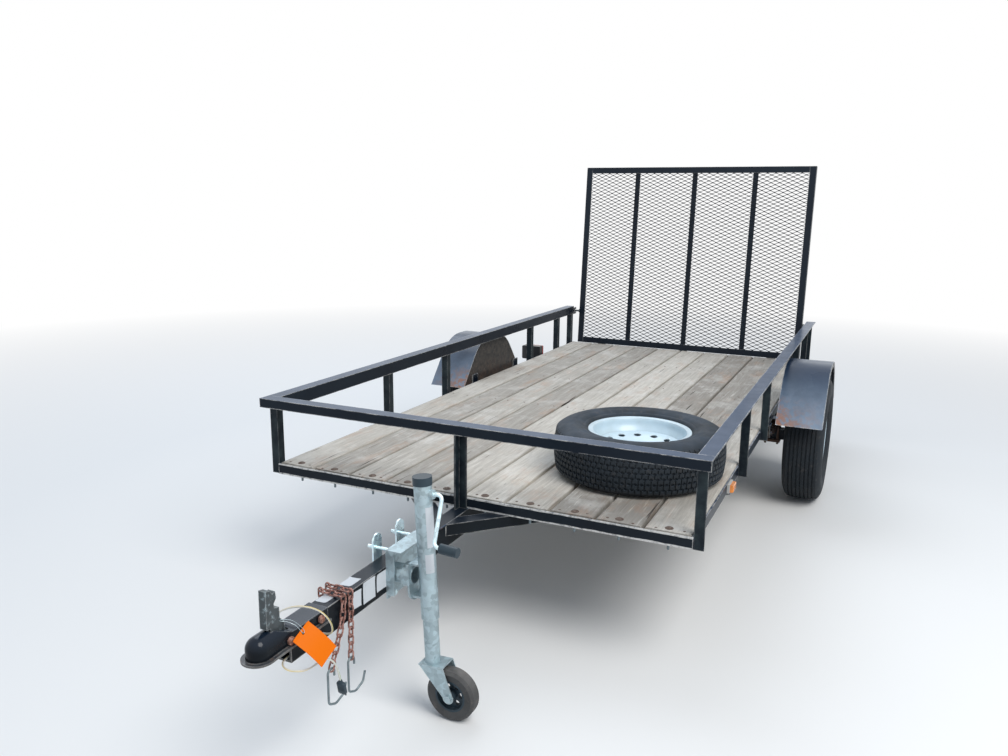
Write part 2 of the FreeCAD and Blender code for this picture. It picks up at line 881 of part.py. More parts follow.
def coupler_hull(radius, inset):
    low = bed_height - coupler_lip_drop - (1 if inset else 0)
    reach = radius + 1
    side = prism([(x, -reach, z) for x, _, z in coupler_outline(inset)], (0, 2 * reach, 0))
    hull = side.common(coupler_arch(radius, low))
    dome = Part.makeSphere(radius, Vector(coupler_x, 0, coupler_z))
    return hull.fuse([dome, rod((coupler_x, 0, low), (coupler_x, 0, coupler_z), radius)])


def coupler_bolt_rods():
    reach = socket_radius + socket_wall + 6
    places = ((coupler_latch_x, coupler_latch_z), (coupler_bolt_x, coupler_bolt_z))
    return [rod((x, -reach, z), (x, reach, z), coupler_bolt_radius) for x, z in places]


def coupler_body():
    """Pressed coupler: a sleeve over the tongue, a nose, the dome over the ball, and a lip all round."""
    outer = socket_radius + socket_wall
    low = bed_height - coupler_lip_drop
    lip_reach = outer + coupler_lip
    body = coupler_hull(outer, 0)
    lip = box(coupler_rear, coupler_x, -lip_reach, lip_reach, low, low + coupler_lip_wall)
    lip = lip.fuse(rod((coupler_x, 0, low), (coupler_x, 0, low + coupler_lip_wall), lip_reach))
    body = body.fuse(lip)
    wall_x = coupler_x - socket_radius - socket_wall
    ahead = box(wall_x, coupler_x + 60, -60, 60, low - 2, low + 90)
    inner = coupler_hull(socket_radius, coupler_wall).cut(ahead)
    socket = Part.makeSphere(socket_radius, Vector(coupler_x, 0, coupler_z))
    socket = socket.fuse(rod((coupler_x, 0, low - 6), (coupler_x, 0, coupler_z), socket_radius))
    slot_half = latch_width / 2 + 1
    slot = box(coupler_latch_x - 20, wall_x, -slot_half, slot_half, bed_height - 4, bed_height + 60)
    return [body.cut([inner, socket, slot] + coupler_bolt_rods()).removeSplitter()]


def coupler_latch():
    """The latch lever, lifted, on its pin inside the nose. Its side outline steps back in two notches."""
    half = latch_width / 2
    pin_x, pin_z, base = coupler_latch_x, coupler_latch_z, bed_height
    top = base + latch_top
    side = [
        (pin_x - 9, pin_z - 5), (pin_x - 5, base + 30), (pin_x + 9, base + 44), (pin_x + 10, base + 72),
        (pin_x + 26, base + 76), (pin_x + 27, base + 87), (pin_x + 18, base + 98), (pin_x + 21, top - 11),
        (pin_x + 30, top - 15), (pin_x + 38, top - 3), (pin_x + 53, top), (pin_x + 54, base + 33),
        (pin_x + 41, base + 31), (pin_x + 41, base + 10), (pin_x + 9, pin_z - 5),
    ]
    lever = prism([(x, -half, z) for x, z in side], (0, 2 * half, 0))
    inner = [(x + (3 if x < pin_x + 29 else -3), z - (3 if z > base + 100 else 0)) for x, z in side]
    lever = lever.cut(prism([(x, -half + 3, z) for x, z in inner], (0, 2 * half - 6, 0)))
    boss = rod((pin_x, -half, pin_z), (pin_x, half, pin_z), 9)
    pin = rod((pin_x, -half, pin_z), (pin_x, half, pin_z), coupler_bolt_radius)
    return [fused(lever, boss).cut(pin)]


def coupler_bolts():
    side = socket_radius + socket_wall
    bolts = []
    for x, z in ((coupler_latch_x, coupler_latch_z), (coupler_bolt_x, coupler_bolt_z)):
        shank = rod((x, -side - 5, z), (x, side + 5, z), coupler_bolt_radius)
        head = rod((x, side, z), (x, side + 6, z), 10)
        nut = rod((x, -side - 8, z), (x, -side, z), 10)
        bolts.append(fused(shank, head, nut))
    return bolts


# Safety chains

def chain_side():
    """How far a chain's middle stays from the tongue's middle, with links on edge against the tongue."""
    return tongue_width / 2 + chain_inner_width / 2 + chain_wire + 0.3


def chain_pitch():
    """Three links reach across the tongue, between the links that stand up at its two sides."""
    return 2 * (chain_side() - chain_wire / 2 - chain_play) / 3


def chain_link():
    """One link along X, flat in the XY plane, with a square section."""
    straight = (chain_pitch() + 2 * chain_play - chain_inner_width) / 2
    pieces = []
    for width in (chain_inner_width / 2 + chain_wire, chain_inner_width / 2):
        block = box(-straight, straight, -width, width, -chain_wire / 2, chain_wire / 2)
        ends = [rod((x, 0, -chain_wire / 2), (x, 0, chain_wire / 2), width) for x in (-straight, straight)]
        pieces.append(block.fuse(ends).removeSplitter())
    return pieces[0].cut(pieces[1])


def chain_steps(station, turn, most):
    """Each link's start and direction: up the far side of the tongue, over it, and down the near side."""
    pitch, side = chain_pitch(), chain_side()
    top = bed_height + side - tongue_width / 2
    crest = top + 3.3
    steps = []
    for i in range(chain_far_links):
        steps.append((Vector(station, -side, crest - (chain_far_links - i) * pitch), Vector(0, 0, 1)))
    for i in range(3):
        steps.append((Vector(station, (i - 1.5) * pitch, top), Vector(0, 1, 0)))
    here = Vector(station, side, crest)
    for i in range(chain_near_links):
        angle = math.radians(min(i * turn, most))
        along = Vector(math.sin(angle), 0, -math.cos(angle))
        steps.append((here, along))
        here = here + along * pitch
    return steps


def safety_chains():
    """Like links, flat and on edge by turns."""
    link = chain_link()
    links = []
    for row in chain_hang:
        steps = chain_steps(*row)
        for i, (start, along) in enumerate(steps):
            flat = (i - chain_far_links) % 2 == 0
            across = Vector(1, 0, 0) if flat else Vector(0, 1, 0)
            if not flat and abs(along.y) > 0.5:
                across = Vector(0, 0, 1)
            if flat and i >= chain_far_links + 3:
                across = Vector(-along.z, 0, along.x)
            copy = link.copy()
            turn = Rotation(along, across, along.cross(across), "XYZ")
            copy.Placement = Placement(start + along * chain_pitch() / 2, turn)
            links.append(copy)
    return links


def chain_hooks():
    """A bent wire hook in each chain's last link, hanging straight down."""
    hooks = []
    for row in chain_hang:
        start, along = chain_steps(*row)[-1]
        eye = start + along * (chain_pitch() + chain_play)
        lift = hook_wire / 2 + 0.3 + chain_wire / 2 * along.x
        x, y, z = eye.x, eye.y, eye.z + lift
        corners = [
            (x - 13, y, z - 24), (x - 13, y, z), (x + 13, y, z), (x + 13, y, z - 92),
            (x - 16, y, z - 106), (x - 50, y, z - 96), (x - 60, y, z - 70),
        ]
        path = rounded_wire(corners, [0, 11, 11, 14, 22, 14, 0])
        first = path.Edges[0]
        origin, heading = first.Vertexes[0].Point, first.tangentAt(first.FirstParameter)
        profile = Part.Wire(Part.makeCircle(hook_wire / 2, origin, heading))
        hooks.append(path.makePipeShell([profile], True, True))
    return hooks


# Wiring

def cord_radii(points):
    """Each corner's arc takes 0.45 of its shorter run."""
    points = [Vector(p) for p in points]
    radii = [0.0]
    for before, corner, after in zip(points, points[1:], points[2:]):
        turn = (corner - before).getAngle(after - corner)
        run = min((corner - before).Length, (after - corner).Length)
        radii.append(0.45 * run / math.tan(turn / 2))
    return radii + [0.0]


def cord_tube(name, corners, radius):
    points = [(x, y, bed_height + z) for x, y, z in corners]
    radii = cord_radii(points)
    path = rounded_wire(points, radii)
    start = path.Edges[0]
    along = start.tangentAt(start.FirstParameter)
    profile = Part.Wire(Part.makeCircle(radius, start.Vertexes[0].Point, along))
    tube = path.makePipeShell([profile], True, True)
    expected = math.pi * radius * radius * path.Length
    share = round(tube.Volume / expected, 3)
    print(name, "length", round(path.Length, 1), "tightest", round(min(radii[1:-1]), 1), "volume share", share)
    return tube


def harness_plug():
    """A flat moulded plug on the lead's end, hanging down, with round contacts in its lower face."""
    x, y, z = harness_lead[-1]
    before = Vector(harness_lead[-2])
    along = (Vector(harness_lead[-1]) - before).normalize()
    wide, broad, tall = plug_size
    body = box(-wide / 2, wide / 2, -broad / 2, broad / 2, 0, tall)
    body = body.makeFillet(2.5, [e for e in body.Edges if abs(e.Vertexes[0].Z - e.Vertexes[-1].Z) > 1])
    contacts = [rod((0, (i - 1.5) * 5.4, tall), (0, (i - 1.5) * 5.4, tall + 7), 1.9) for i in range(4)]
    plug = fused(body, *contacts)
    plug.Placement = Placement(Vector(x, y, bed_height + z), Rotation(Vector(0, 0, 1), along))
    return [plug]


# Jack and its bracket

def jack_leaned(shape):
    shape.rotate(Vector(jack_x, jack_y, jack_z), Vector(1, 0, 0), jack_lean)
    return shape


def jack_rod(low, high, radius, dx=0.0, dy=0.0):
    """An upright round bar beside the jack's axis. Heights count from the pivot."""
    x, y = jack_x + dx, jack_y + dy
    return rod((x, y, jack_z + low), (x, y, jack_z + high), radius)


def jack_tube():
    outer = jack_rod(-jack_tube_down, jack_tube_up, jack_tube_radius)
    inner = jack_rod(-jack_tube_down, jack_tube_up, jack_leg_radius + running_gap)
    z = jack_z + crank_height
    boss = rod((jack_x, jack_y, z), (jack_x, jack_y + jack_tube_radius + 9, z), 13)
    bore = rod((jack_x, jack_y, z), (jack_x, jack_y + jack_tube_radius + 9, z), crank_radius + running_gap)
    return [jack_leaned(fused(outer, boss).cut([inner, bore]))]


def jack_cap():
    cap = jack_rod(jack_tube_up - 18, jack_tube_up + 5, jack_tube_radius + 2)
    return [jack_leaned(cap.cut(jack_rod(jack_tube_up - 18, jack_tube_up, jack_tube_radius)))]


def crank_path():
    x, y, z = jack_x, jack_y, jack_z + crank_height
    return [
        (x, y + 8, z),
        (x, y + 60, z),
        (x + crank_throw - 2, y + 56, z - crank_drop),
        (x + crank_throw, y + crank_reach, z - crank_drop - 6),
    ]


def jack_crank():
    """A bent rod: out of the tube, down and forward, and out again through the grip."""
    path = rounded_wire(crank_path(), [0, 14, 14, 0])
    start = path.Edges[0]
    ahead = start.tangentAt(start.FirstParameter)
    profile = Part.Wire(Part.makeCircle(crank_radius, start.Vertexes[0].Point, ahead))
    return [jack_leaned(path.makePipeShell([profile], True, True))]


def jack_crank_grip():
    before, tip = Vector(crank_path()[2]), Vector(crank_path()[3])
    along = (tip - before).normalize()
    start = before + along * 20
    grip = rod(start, tip + along * 3, grip_radius).cut(rod(before, tip, crank_radius + 0.2))
    return [jack_leaned(grip)]


def swivel_face():
    """The side of the swivel plate that faces the tongue, as Y beside the upright jack."""
    return jack_y - jack_tube_radius - swivel_reach


def jack_swivel_plate():
    """The ring that turns on the bracket's stub, its plate, and two shelves between the plate and the tube."""
    y0 = swivel_face()
    centre = lambda y: Vector(jack_x, y, jack_z)
    ring = rod(centre(y0 - 20), centre(y0 + 3), swivel_outer)
    low = jack_z - swivel_plate_drop + swivel_outer
    plate = rod((jack_x, y0, low), (jack_x, y0 + 6, low), swivel_outer)
    rear, front = jack_x - swivel_outer, jack_x + swivel_outer
    plate = plate.fuse(box(rear, front, y0, y0 + 6, low, jack_z + swivel_outer + 8))
    shelves = []
    for z in (jack_z + swivel_outer + 2, low - 22):
        shelves.append(box(jack_x - 20, jack_x + 20, y0 + 3, jack_y - 12, z, z + 6))
    body = fused(ring, plate, *shelves)
    hole = rod(centre(y0 - 21), centre(y0 + 7), swivel_inner + running_gap)
    tube = jack_rod(-jack_tube_down - 10, jack_tube_up, jack_tube_radius)
    return [jack_leaned(body.cut([hole, tube]))]


def jack_wheel_drop():
    """How far below the pivot, along the jack, the caster wheel's axle lies when the wheel is on the floor."""
    lean = math.radians(jack_lean)
    return (jack_z + caster_trail * math.sin(lean) - caster_radius) / math.cos(lean)


def jack_leg():
    foot = fork_rise - jack_wheel_drop()
    outer = jack_rod(foot, jack_leg_top, jack_leg_radius)
    inner = jack_rod(foot + 8, jack_leg_top, jack_leg_radius - jack_leg_wall)
    kingpin = jack_rod(foot - fork_wall - 1, foot, kingpin_radius)
    nut = jack_rod(foot - fork_wall - 9, foot - fork_wall - 1, kingpin_radius + 5)
    return [jack_leaned(outer.cut(inner).fuse([kingpin, nut]).removeSplitter())]


def jack_fork():
    """The caster's pressed fork: a top plate round the kingpin and two sides that taper to the axle."""
    top = jack_z + fork_rise - jack_wheel_drop() - running_gap
    axle_y, axle_height = jack_y + caster_trail, jack_z - jack_wheel_drop()
    half = caster_width / 2 + fork_gap + fork_wall
    rear, front = jack_y - fork_rear, jack_y + fork_front
    plate = box(jack_x - half, jack_x + half, rear, front, top - fork_wall, top)
    parts = [plate]
    for x in (jack_x - half, jack_x + half - fork_wall):
        side = [
            (x, rear, top), (x, front, top),
            (x, axle_y + fork_tip, axle_height), (x, axle_y - fork_tip, axle_height),
        ]
        parts.append(prism(side, (fork_wall, 0, 0)))
        parts.append(rod((x, axle_y, axle_height), (x + fork_wall, axle_y, axle_height), fork_tip))
    left, right = jack_x - half - 6, jack_x + half + 6
    axle = rod((left, axle_y, axle_height), (right, axle_y, axle_height), caster_axle_radius)
    parts.append(axle)
    for x in (jack_x - half - 6, jack_x + half):
        parts.append(rod((x, axle_y, axle_height), (x + 6, axle_y, axle_height), caster_axle_radius + 4))
    body = fused(parts[0], *parts[1:])
    low = fork_rise - jack_wheel_drop() - fork_wall
    hole = jack_rod(low - 2, low + fork_wall, kingpin_radius + running_gap)
    return [jack_leaned(body.cut(hole))]


def caster_centre():
    return Vector(jack_x, jack_y + caster_trail, jack_z - jack_wheel_drop())


def jack_wheel_tyre():
    half, round_off = caster_width / 2, 8
    outline = [
        (caster_hub_radius, -half + 3),
        (caster_radius - round_off, -half),
        (caster_radius, -half + round_off),
        (caster_radius, half - round_off),
        (caster_radius - round_off, half),
        (caster_hub_radius, half - 3),
    ]
    return [jack_leaned(revolved(outline, caster_centre(), (1, 0, 0), (0, 1, 0)))]


def jack_wheel_hub():
    """A moulded hub with round windows between its spokes."""
    centre = caster_centre()
    half, web = caster_width / 2, 5
    reach = half + fork_gap - seat_gap
    edge = caster_hub_radius
    rim_ring = [(edge - 6, -half + 3), (edge, -half + 3), (edge, half - 3), (edge - 6, half - 3)]
    disc = [(10, -web), (edge - 5, -web), (edge - 5, web), (10, web)]
    barrel = [(0, -reach), (15, -reach), (15, reach), (0, reach)]
    pieces = [revolved(outline, centre, (1, 0, 0), (0, 1, 0)) for outline in (rim_ring, disc, barrel)]
    body = fused(*pieces)
    across = Vector(reach + 1, 0, 0)
    cutters = [rod(centre - across, centre + across, caster_axle_radius + running_gap)]
    for i in range(caster_window_count):
        turn = 2 * math.pi * i / caster_window_count
        middle = centre + Vector(0, math.cos(turn), math.sin(turn)) * (edge + 9) / 2
        cutters.append(rod(middle - Vector(web + 1, 0, 0), middle + Vector(web + 1, 0, 0), 8))
    return [jack_leaned(body.cut(cutters))]


def clamp_bolt_places():
    """X and Z of the four bolts that clamp the bracket round the tongue."""
    above, below = bed_height + 35, bed_height - tongue_height - 12
    xs = (bracket_x, bracket_x + bracket_length)
    near, far = xs[1] - 13, xs[0] + 40
    return [(near, above), (far, above), (near, below), (far, below)]


def jack_bracket():
    """Channel plate on the tongue's side, its top and end flanges, and the stub that the jack turns on."""
    y = tongue_width / 2 + seat_gap
    x0, x1 = bracket_x, bracket_x + bracket_length + 20
    low, high = bed_height - bracket_down, bed_height + bracket_up
    plate = box(x0, x1, y, y + bracket_wall, low, high)
    flange = box(x0, x1, y, y + bracket_flange, high, high + bracket_wall)
    outer = y + bracket_end_flange
    ends = [box(x, x + bracket_wall, y, outer, low + 12, high) for x in (x0, x1 - bracket_wall)]
    base = fused(plate, flange, *ends)
    stub_start = Vector(jack_x, y + 3.5, jack_z)
    stub_end = Vector(jack_x, swivel_face() + 7.5, jack_z)
    stub = jack_leaned(rod(stub_start, stub_end, swivel_inner))
    bore = jack_leaned(rod(stub_start - Vector(0, 12, 0), stub_end + Vector(0, 1, 0), swivel_inner - 4))
    keep = box(x0, x1, y, y + 100, low, high + bracket_wall)
    holes = [
        rod((x, y - 1, z), (x, y + bracket_wall + 1, z), clamp_bolt_radius) for x, z in clamp_bolt_places()
    ]
    return [fused(base, stub.common(keep)).cut([bore] + holes)]


def jack_clamp_straps():
    """Two straps with round tops on the far side of the tongue."""
    y = -tongue_width / 2 - seat_gap
    straps = []
    holes = [rod((x, y - 6, z), (x, y + 1, z), clamp_bolt_radius) for x, z in clamp_bolt_places()]
    for x, _ in clamp_bolt_places()[:2]:
        half, top = strap_width / 2, bed_height + strap_up - strap_width / 2
        middle = x - 6
        strap = box(middle - half, middle + half, y - 5, y, bed_height - bracket_down - 8, top)
        round_top = rod((middle, y - 5, top), (middle, y, top), half)
        straps.append(fused(strap, round_top).cut(holes))
    return straps


def jack_clamp_bolts():
    y0, y1 = -tongue_width / 2 - seat_gap - 5, tongue_width / 2 + seat_gap + bracket_wall
    bolts = []
    for x, z in clamp_bolt_places():
        shank = rod((x, y0 - bolt_tail, z), (x, y1 + 6, z), clamp_bolt_radius)
        head = rod((x, y1, z), (x, y1 + 6, z), clamp_bolt_radius * 1.8)
        nut = rod((x, y0 - 8, z), (x, y0, z), clamp_bolt_radius * 1.8)
        bolts.append(fused(shank, head, nut))
    return bolts


NODES = [
    ("bed_end_sills", bed_end_sills),
    ("bed_side_rails", bed_side_rails),
    ("bed_crossmembers", crossmembers),
    ("deck_planks", deck_planks),
    ("top_rail_front", top_rail_front),
    ("top_rails_side", top_rails_side),
    ("rail_posts", rail_posts),
    ("tongue_tube", tongue_tube),
    ("tongue_braces", tongue_braces),
    ("axle_beam", axle_beam),
    ("leaf_springs", leaf_springs),
    ("spring_hangers", spring_hangers),
    ("axle_u_bolts", axle_u_bolts),
    ("fenders", lambda: both_sides(fender())),
    ("side_brackets", lambda: fender_brackets() + tail_lamp_brackets()),
    ("tail_lamps", tail_lamps),
    ("tail_lamp_lenses", tail_lamp_lenses),
    ("side_markers", side_markers),
    ("side_marker_lenses", side_marker_lenses),
    ("road_tyre_left", lambda: [tyre((axle_x, wheel_track, axle_z))]),
    ("road_rim_left", lambda: [rim((axle_x, wheel_track, axle_z), 1)]),
    ("road_hub_left", lambda: hub(1)),
    ("road_tyre_right", lambda: [tyre((axle_x, -wheel_track, axle_z))]),
    ("road_rim_right", lambda: [rim((axle_x, -wheel_track, axle_z), -1)]),
    ("road_hub_right", lambda: hub(-1)),
    ("gate_stiles", gate_stiles),
    ("gate_end_bars", gate_end_bars),
    ("gate_uprights", gate_uprights),
    ("gate_mesh", gate_mesh),
    ("gate_hinge_barrels", gate_hinge_barrels),
    ("gate_hinge_lugs", gate_hinge_lugs),
    ("gate_latch_pins", gate_latch_pins),
    ("gate_latch_keepers", gate_latch_keepers),
    ("spare_tyre", lambda: [laid_down(tyre((0, 0, 0)))]),
    ("spare_rim", lambda: [laid_down(rim((0, 0, 0), 1))]),
    ("coupler_body", coupler_body),
    ("coupler_latch", coupler_latch),
    ("coupler_bolts", coupler_bolts),
    ("safety_chains", safety_chains),
    ("chain_hooks", chain_hooks),
    ("harness_loop_cord", lambda: [cord_tube("harness_loop_cord", harness_loop, harness_radius)]),
    ("harness_lead_cord", lambda: [cord_tube("harness_lead_cord", harness_lead, harness_radius)]),
    ("harness_plug", harness_plug),
    ("jack_bracket", jack_bracket),
    ("jack_clamp_straps", jack_clamp_straps),
    ("jack_clamp_bolts", jack_clamp_bolts),
    ("jack_tube", jack_tube),
    ("jack_cap", jack_cap),
    ("jack_crank", jack_crank),
    ("jack_crank_grip", jack_crank_grip),
    ("jack_swivel_plate", jack_swivel_plate),
    ("jack_leg", jack_leg),
    ("jack_fork", jack_fork),
    ("jack_wheel_tyre", jack_wheel_tyre),
    ("jack_wheel_hub", jack_wheel_hub),
]


def main():
    os.makedirs("parts", exist_ok=True)
    shapes = {}
    for name, make in NODES:
        shapes[name] = Part.makeCompound(make())
        solids = shapes[name].Solids
        print(name, len(solids), all(s.isValid() for s in solids), round(shapes[name].Volume / 1000, 1))
    whole = Part.makeCompound(list(shapes.values())).BoundBox
    shift = Vector(-(whole.XMin + whole.XMax) / 2, 0, 0)
    for name, shape in shapes.items():
        shape.translate(shift)
        shape.exportStep("parts/" + name + ".step")
    print("shift along X", round(shift.x, 3))
    print("size", round(whole.XLength, 1), round(whole.YLength, 1), round(whole.ZLength, 1))


main()
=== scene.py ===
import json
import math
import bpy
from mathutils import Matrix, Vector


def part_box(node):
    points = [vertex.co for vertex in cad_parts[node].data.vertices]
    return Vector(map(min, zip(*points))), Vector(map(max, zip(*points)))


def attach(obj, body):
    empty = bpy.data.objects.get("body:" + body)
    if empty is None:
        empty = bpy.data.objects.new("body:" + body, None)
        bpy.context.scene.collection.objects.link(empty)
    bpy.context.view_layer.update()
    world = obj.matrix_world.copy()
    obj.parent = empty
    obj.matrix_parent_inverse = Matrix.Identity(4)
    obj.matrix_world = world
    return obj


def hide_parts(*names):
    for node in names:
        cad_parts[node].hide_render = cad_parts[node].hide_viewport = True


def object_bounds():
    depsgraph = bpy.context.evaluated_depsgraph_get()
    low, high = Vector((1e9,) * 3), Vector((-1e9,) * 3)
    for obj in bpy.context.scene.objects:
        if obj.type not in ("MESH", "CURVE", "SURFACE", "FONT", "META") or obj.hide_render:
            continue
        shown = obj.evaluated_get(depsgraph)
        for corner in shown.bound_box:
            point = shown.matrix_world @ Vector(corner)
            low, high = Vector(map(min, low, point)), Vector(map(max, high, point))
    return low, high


bl_info = {
    "name": "Utility trailer",
    "version": (1, 0, 0),
    "blender": (4, 5, 0),
    "location": "3D View > Sidebar > Trailer",
    "description": "Dresses a utility trailer with boards, mesh, tyres, chains, wiring and finishes",
    "category": "Object",
}

import bmesh
import bpy
from bpy.props import FloatProperty, FloatVectorProperty, IntProperty, PointerProperty
from mathutils import Matrix, Vector, noise

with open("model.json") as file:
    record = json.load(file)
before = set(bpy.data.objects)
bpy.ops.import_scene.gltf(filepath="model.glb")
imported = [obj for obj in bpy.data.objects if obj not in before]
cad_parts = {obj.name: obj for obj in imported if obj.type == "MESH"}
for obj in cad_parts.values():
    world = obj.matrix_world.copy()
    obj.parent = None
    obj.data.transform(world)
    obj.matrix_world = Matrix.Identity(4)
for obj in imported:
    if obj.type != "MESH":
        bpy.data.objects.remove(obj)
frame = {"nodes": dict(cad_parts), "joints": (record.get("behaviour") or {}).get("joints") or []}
CAD_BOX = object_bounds()

# The bed frame's front lower edge, which the trailer's own measures start from
BED_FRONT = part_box("bed_end_sills")[1].x
BED_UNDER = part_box("bed_end_sills")[0].z


def mm(value):
    """Millimetres as metres."""
    return value * 0.001


def bed(x, y, z):
    """A point given in millimetres from the middle of the bed frame's front lower edge."""
    return Vector((BED_FRONT + mm(x), mm(y), BED_UNDER + mm(z)))


# Settings that a user would change

def colour_setting(name, description, value):
    return FloatVectorProperty(
        name=name, description=description, subtype="COLOR", size=3, min=0.0, max=1.0, default=value
    )


def length_setting(name, description, value):
    return FloatProperty(
        name=name, description=description, unit="LENGTH", default=value, min=0.0, precision=4
    )


class TrailerSizes(bpy.types.PropertyGroup):
    board_count: IntProperty(name="Boards", description="Number of deck boards", default=10, min=1)
    board_gap: length_setting("Board gap", "Gap between deck boards", 0.0105)
    board_cup: length_setting("Board cup", "How far a board's middle sinks below its edges", 0.0009)
    mesh_wide: length_setting("Mesh opening width", "Long way of one diamond in the gate's mesh", 0.0508)
    mesh_high: length_setting("Mesh opening height", "Short way of one diamond in the gate's mesh", 0.0234)
    mesh_strand: length_setting("Mesh strand", "Width of one strand of the gate's mesh", 0.0036)
    tread_depth: length_setting("Tread depth", "Depth of the grooves in the tyres", 0.0055)
    tread_pitches: IntProperty(
        name="Tread pitches", description="Tread blocks round one tyre", default=72, min=12
    )
    chain_wire: length_setting("Chain wire", "Thickness of the safety chains' wire", 0.005)
    wire_radius: length_setting("Wire radius", "Radius of one sheathed wire in the harness", 0.00115)
    weld_radius: length_setting("Weld bead", "Radius of the weld beads on the frame", 0.0032)
    edge_round: length_setting("Edge rounding", "Rounding of the steel sections' edges", 0.0009)


class TrailerColours(bpy.types.PropertyGroup):
    enamel: colour_setting("Enamel", "Black enamel on the frame, gate and fenders", (0.0032, 0.0042, 0.0058))
    bare_steel: colour_setting("Bare steel", "Steel where the enamel has worn off", (0.60, 0.59, 0.57))
    rust: colour_setting("Rust", "Rust specks and patches", (0.26, 0.105, 0.045))
    board_light: colour_setting("Board, light", "Weathered board between grain lines", (0.62, 0.585, 0.52))
    board_dark: colour_setting("Board, dark", "Dark grain and cracks of the boards", (0.13, 0.105, 0.085))
    needle_stain: colour_setting("Board stain", "Orange-brown stain on the boards", (0.46, 0.25, 0.14))
    tyre: colour_setting("Tyre", "Tyre rubber", (0.0085, 0.009, 0.011))
    wheel: colour_setting("Wheel", "Wheel enamel", (0.54, 0.675, 0.755))
    zinc: colour_setting("Zinc", "Zinc plate on the jack and its bracket", (0.295, 0.37, 0.40))
    chain: colour_setting("Chain", "Rusted chain", (0.24, 0.085, 0.06))
    tag: colour_setting("Tag", "Blank tag on the coupler", (0.76, 0.155, 0.001))
    label: colour_setting("Label", "Blank labels on the tongue and jack", (0.56, 0.59, 0.62))
    lens_red: colour_setting("Red lens", "Tail lamp lenses", (0.42, 0.012, 0.010))
    lens_amber: colour_setting("Amber lens", "Side marker lenses", (0.80, 0.24, 0.015))
    floor: colour_setting("Floor", "Studio floor", (0.80, 0.80, 0.79))


def sizes():
    return bpy.context.scene.trailer_sizes


def colours():
    return bpy.context.scene.trailer_colours


# Shader helpers

def feed(tree, socket, value):
    """Sets a socket, or links it if the value is another socket."""
    if isinstance(value, bpy.types.NodeSocket):
        tree.links.new(value, socket)
    elif socket.type == "RGBA" and len(value) == 3:
        socket.default_value = (*value, 1.0)
    else:
        socket.default_value = value


def add(tree, kind, inputs=None, **settings):
    """Adds a node with its settings and inputs."""
    node = tree.nodes.new(kind)
    for key, value in settings.items():
        setattr(node, key, value)
    for key, value in (inputs or {}).items():
        feed(tree, node.inputs[key], value)
    return node


def calc(tree, operation, *values):
    """One step of arithmetic."""
    return add(tree, "ShaderNodeMath", dict(enumerate(values)), operation=operation).outputs[0]


def times(tree, product, *masks):
    """Masks multiplied together, with each product held between 0 and 1."""
    for mask in masks:
        node = add(tree, "ShaderNodeMath", {0: product, 1: mask}, operation="MULTIPLY", use_clamp=True)
        product = node.outputs[0]
    return product


def remap(tree, value, low, high, to_low=0.0, to_high=1.0):
    return add(tree, "ShaderNodeMapRange", {0: value, 1: low, 2: high, 3: to_low, 4: to_high}).outputs[0]


def mix(tree, mask, first, second):
    """A colour between two, by a mask."""
    return add(tree, "ShaderNodeMix", {0: mask, 6: first, 7: second}, data_type="RGBA").outputs[2]


def mix_value(tree, mask, first, second):
    return add(tree, "ShaderNodeMix", {0: mask, 2: first, 3: second}, data_type="FLOAT").outputs[0]


def tint(tree, base, mask, share, colour):
    """Lays a colour over another by a share of a mask."""
    return mix(tree, times(tree, mask, share), base, colour)


def facing(tree, axis):
    """How far the surface looks along an axis."""
    normal = add(tree, "ShaderNodeNewGeometry").outputs["Normal"]
    return add(tree, "ShaderNodeSeparateXYZ", {0: normal}).outputs[axis]


def own_place(tree, axis):
    """One of the piece's own three coordinates."""
    place = add(tree, "ShaderNodeTexCoord").outputs["Object"]
    return add(tree, "ShaderNodeSeparateXYZ", {0: place}).outputs[axis]


def placed(tree, stretch=(1, 1, 1), shift=None):
    """The piece's own coordinates, stretched."""
    source = add(tree, "ShaderNodeTexCoord").outputs["Object"]
    if shift is not None:
        source = add(tree, "ShaderNodeVectorMath", {0: source, 1: shift}, operation="ADD").outputs[0]
    return add(tree, "ShaderNodeMapping", {"Vector": source, "Scale": stretch}).outputs[0]


def grit(tree, scale, detail, roughness, at=None, distortion=0.0):
    """Noise at the piece's own coordinates, or at others."""
    inputs = {"Scale": scale, "Detail": detail, "Roughness": roughness, "Distortion": distortion}
    inputs["Vector"] = placed(tree) if at is None else at
    return add(tree, "ShaderNodeTexNoise", inputs).outputs[0]


def board_value(tree, name):
    """A number that the faces of each board carry."""
    return add(tree, "ShaderNodeAttribute", attribute_name=name, attribute_type="GEOMETRY").outputs["Fac"]


def shared_group(name, build, inputs, outputs):
    """The shader group of this name, which the first material that needs it builds."""
    if name in bpy.data.node_groups:
        return bpy.data.node_groups[name]
    group = bpy.data.node_groups.new(name, "ShaderNodeTree")
    for label in inputs:
        group.interface.new_socket(label, in_out="INPUT", socket_type="NodeSocketFloat")
    for label in outputs:
        group.interface.new_socket(label, in_out="OUTPUT", socket_type="NodeSocketFloat")
    entry, leave = group.nodes.new("NodeGroupInput"), group.nodes.new("NodeGroupOutput")
    for label, socket in zip(outputs, build(group, *(entry.outputs[label] for label in inputs))):
        group.links.new(socket, leave.inputs[label])
    return group


def effect(name, inputs, outputs=("Mask",)):
    """Turns a function that builds a shader group into one that places this group in a material."""
    def wrap(build):
        def place(tree, *values):
            node = tree.nodes.new("ShaderNodeGroup")
            node.node_tree = shared_group(name, build, inputs, outputs)
            for label, value in zip(inputs, values, strict=True):
                feed(tree, node.inputs[label], value)
            return node.outputs[0] if len(outputs) == 1 else [node.outputs[label] for label in outputs]
        return place
    return wrap


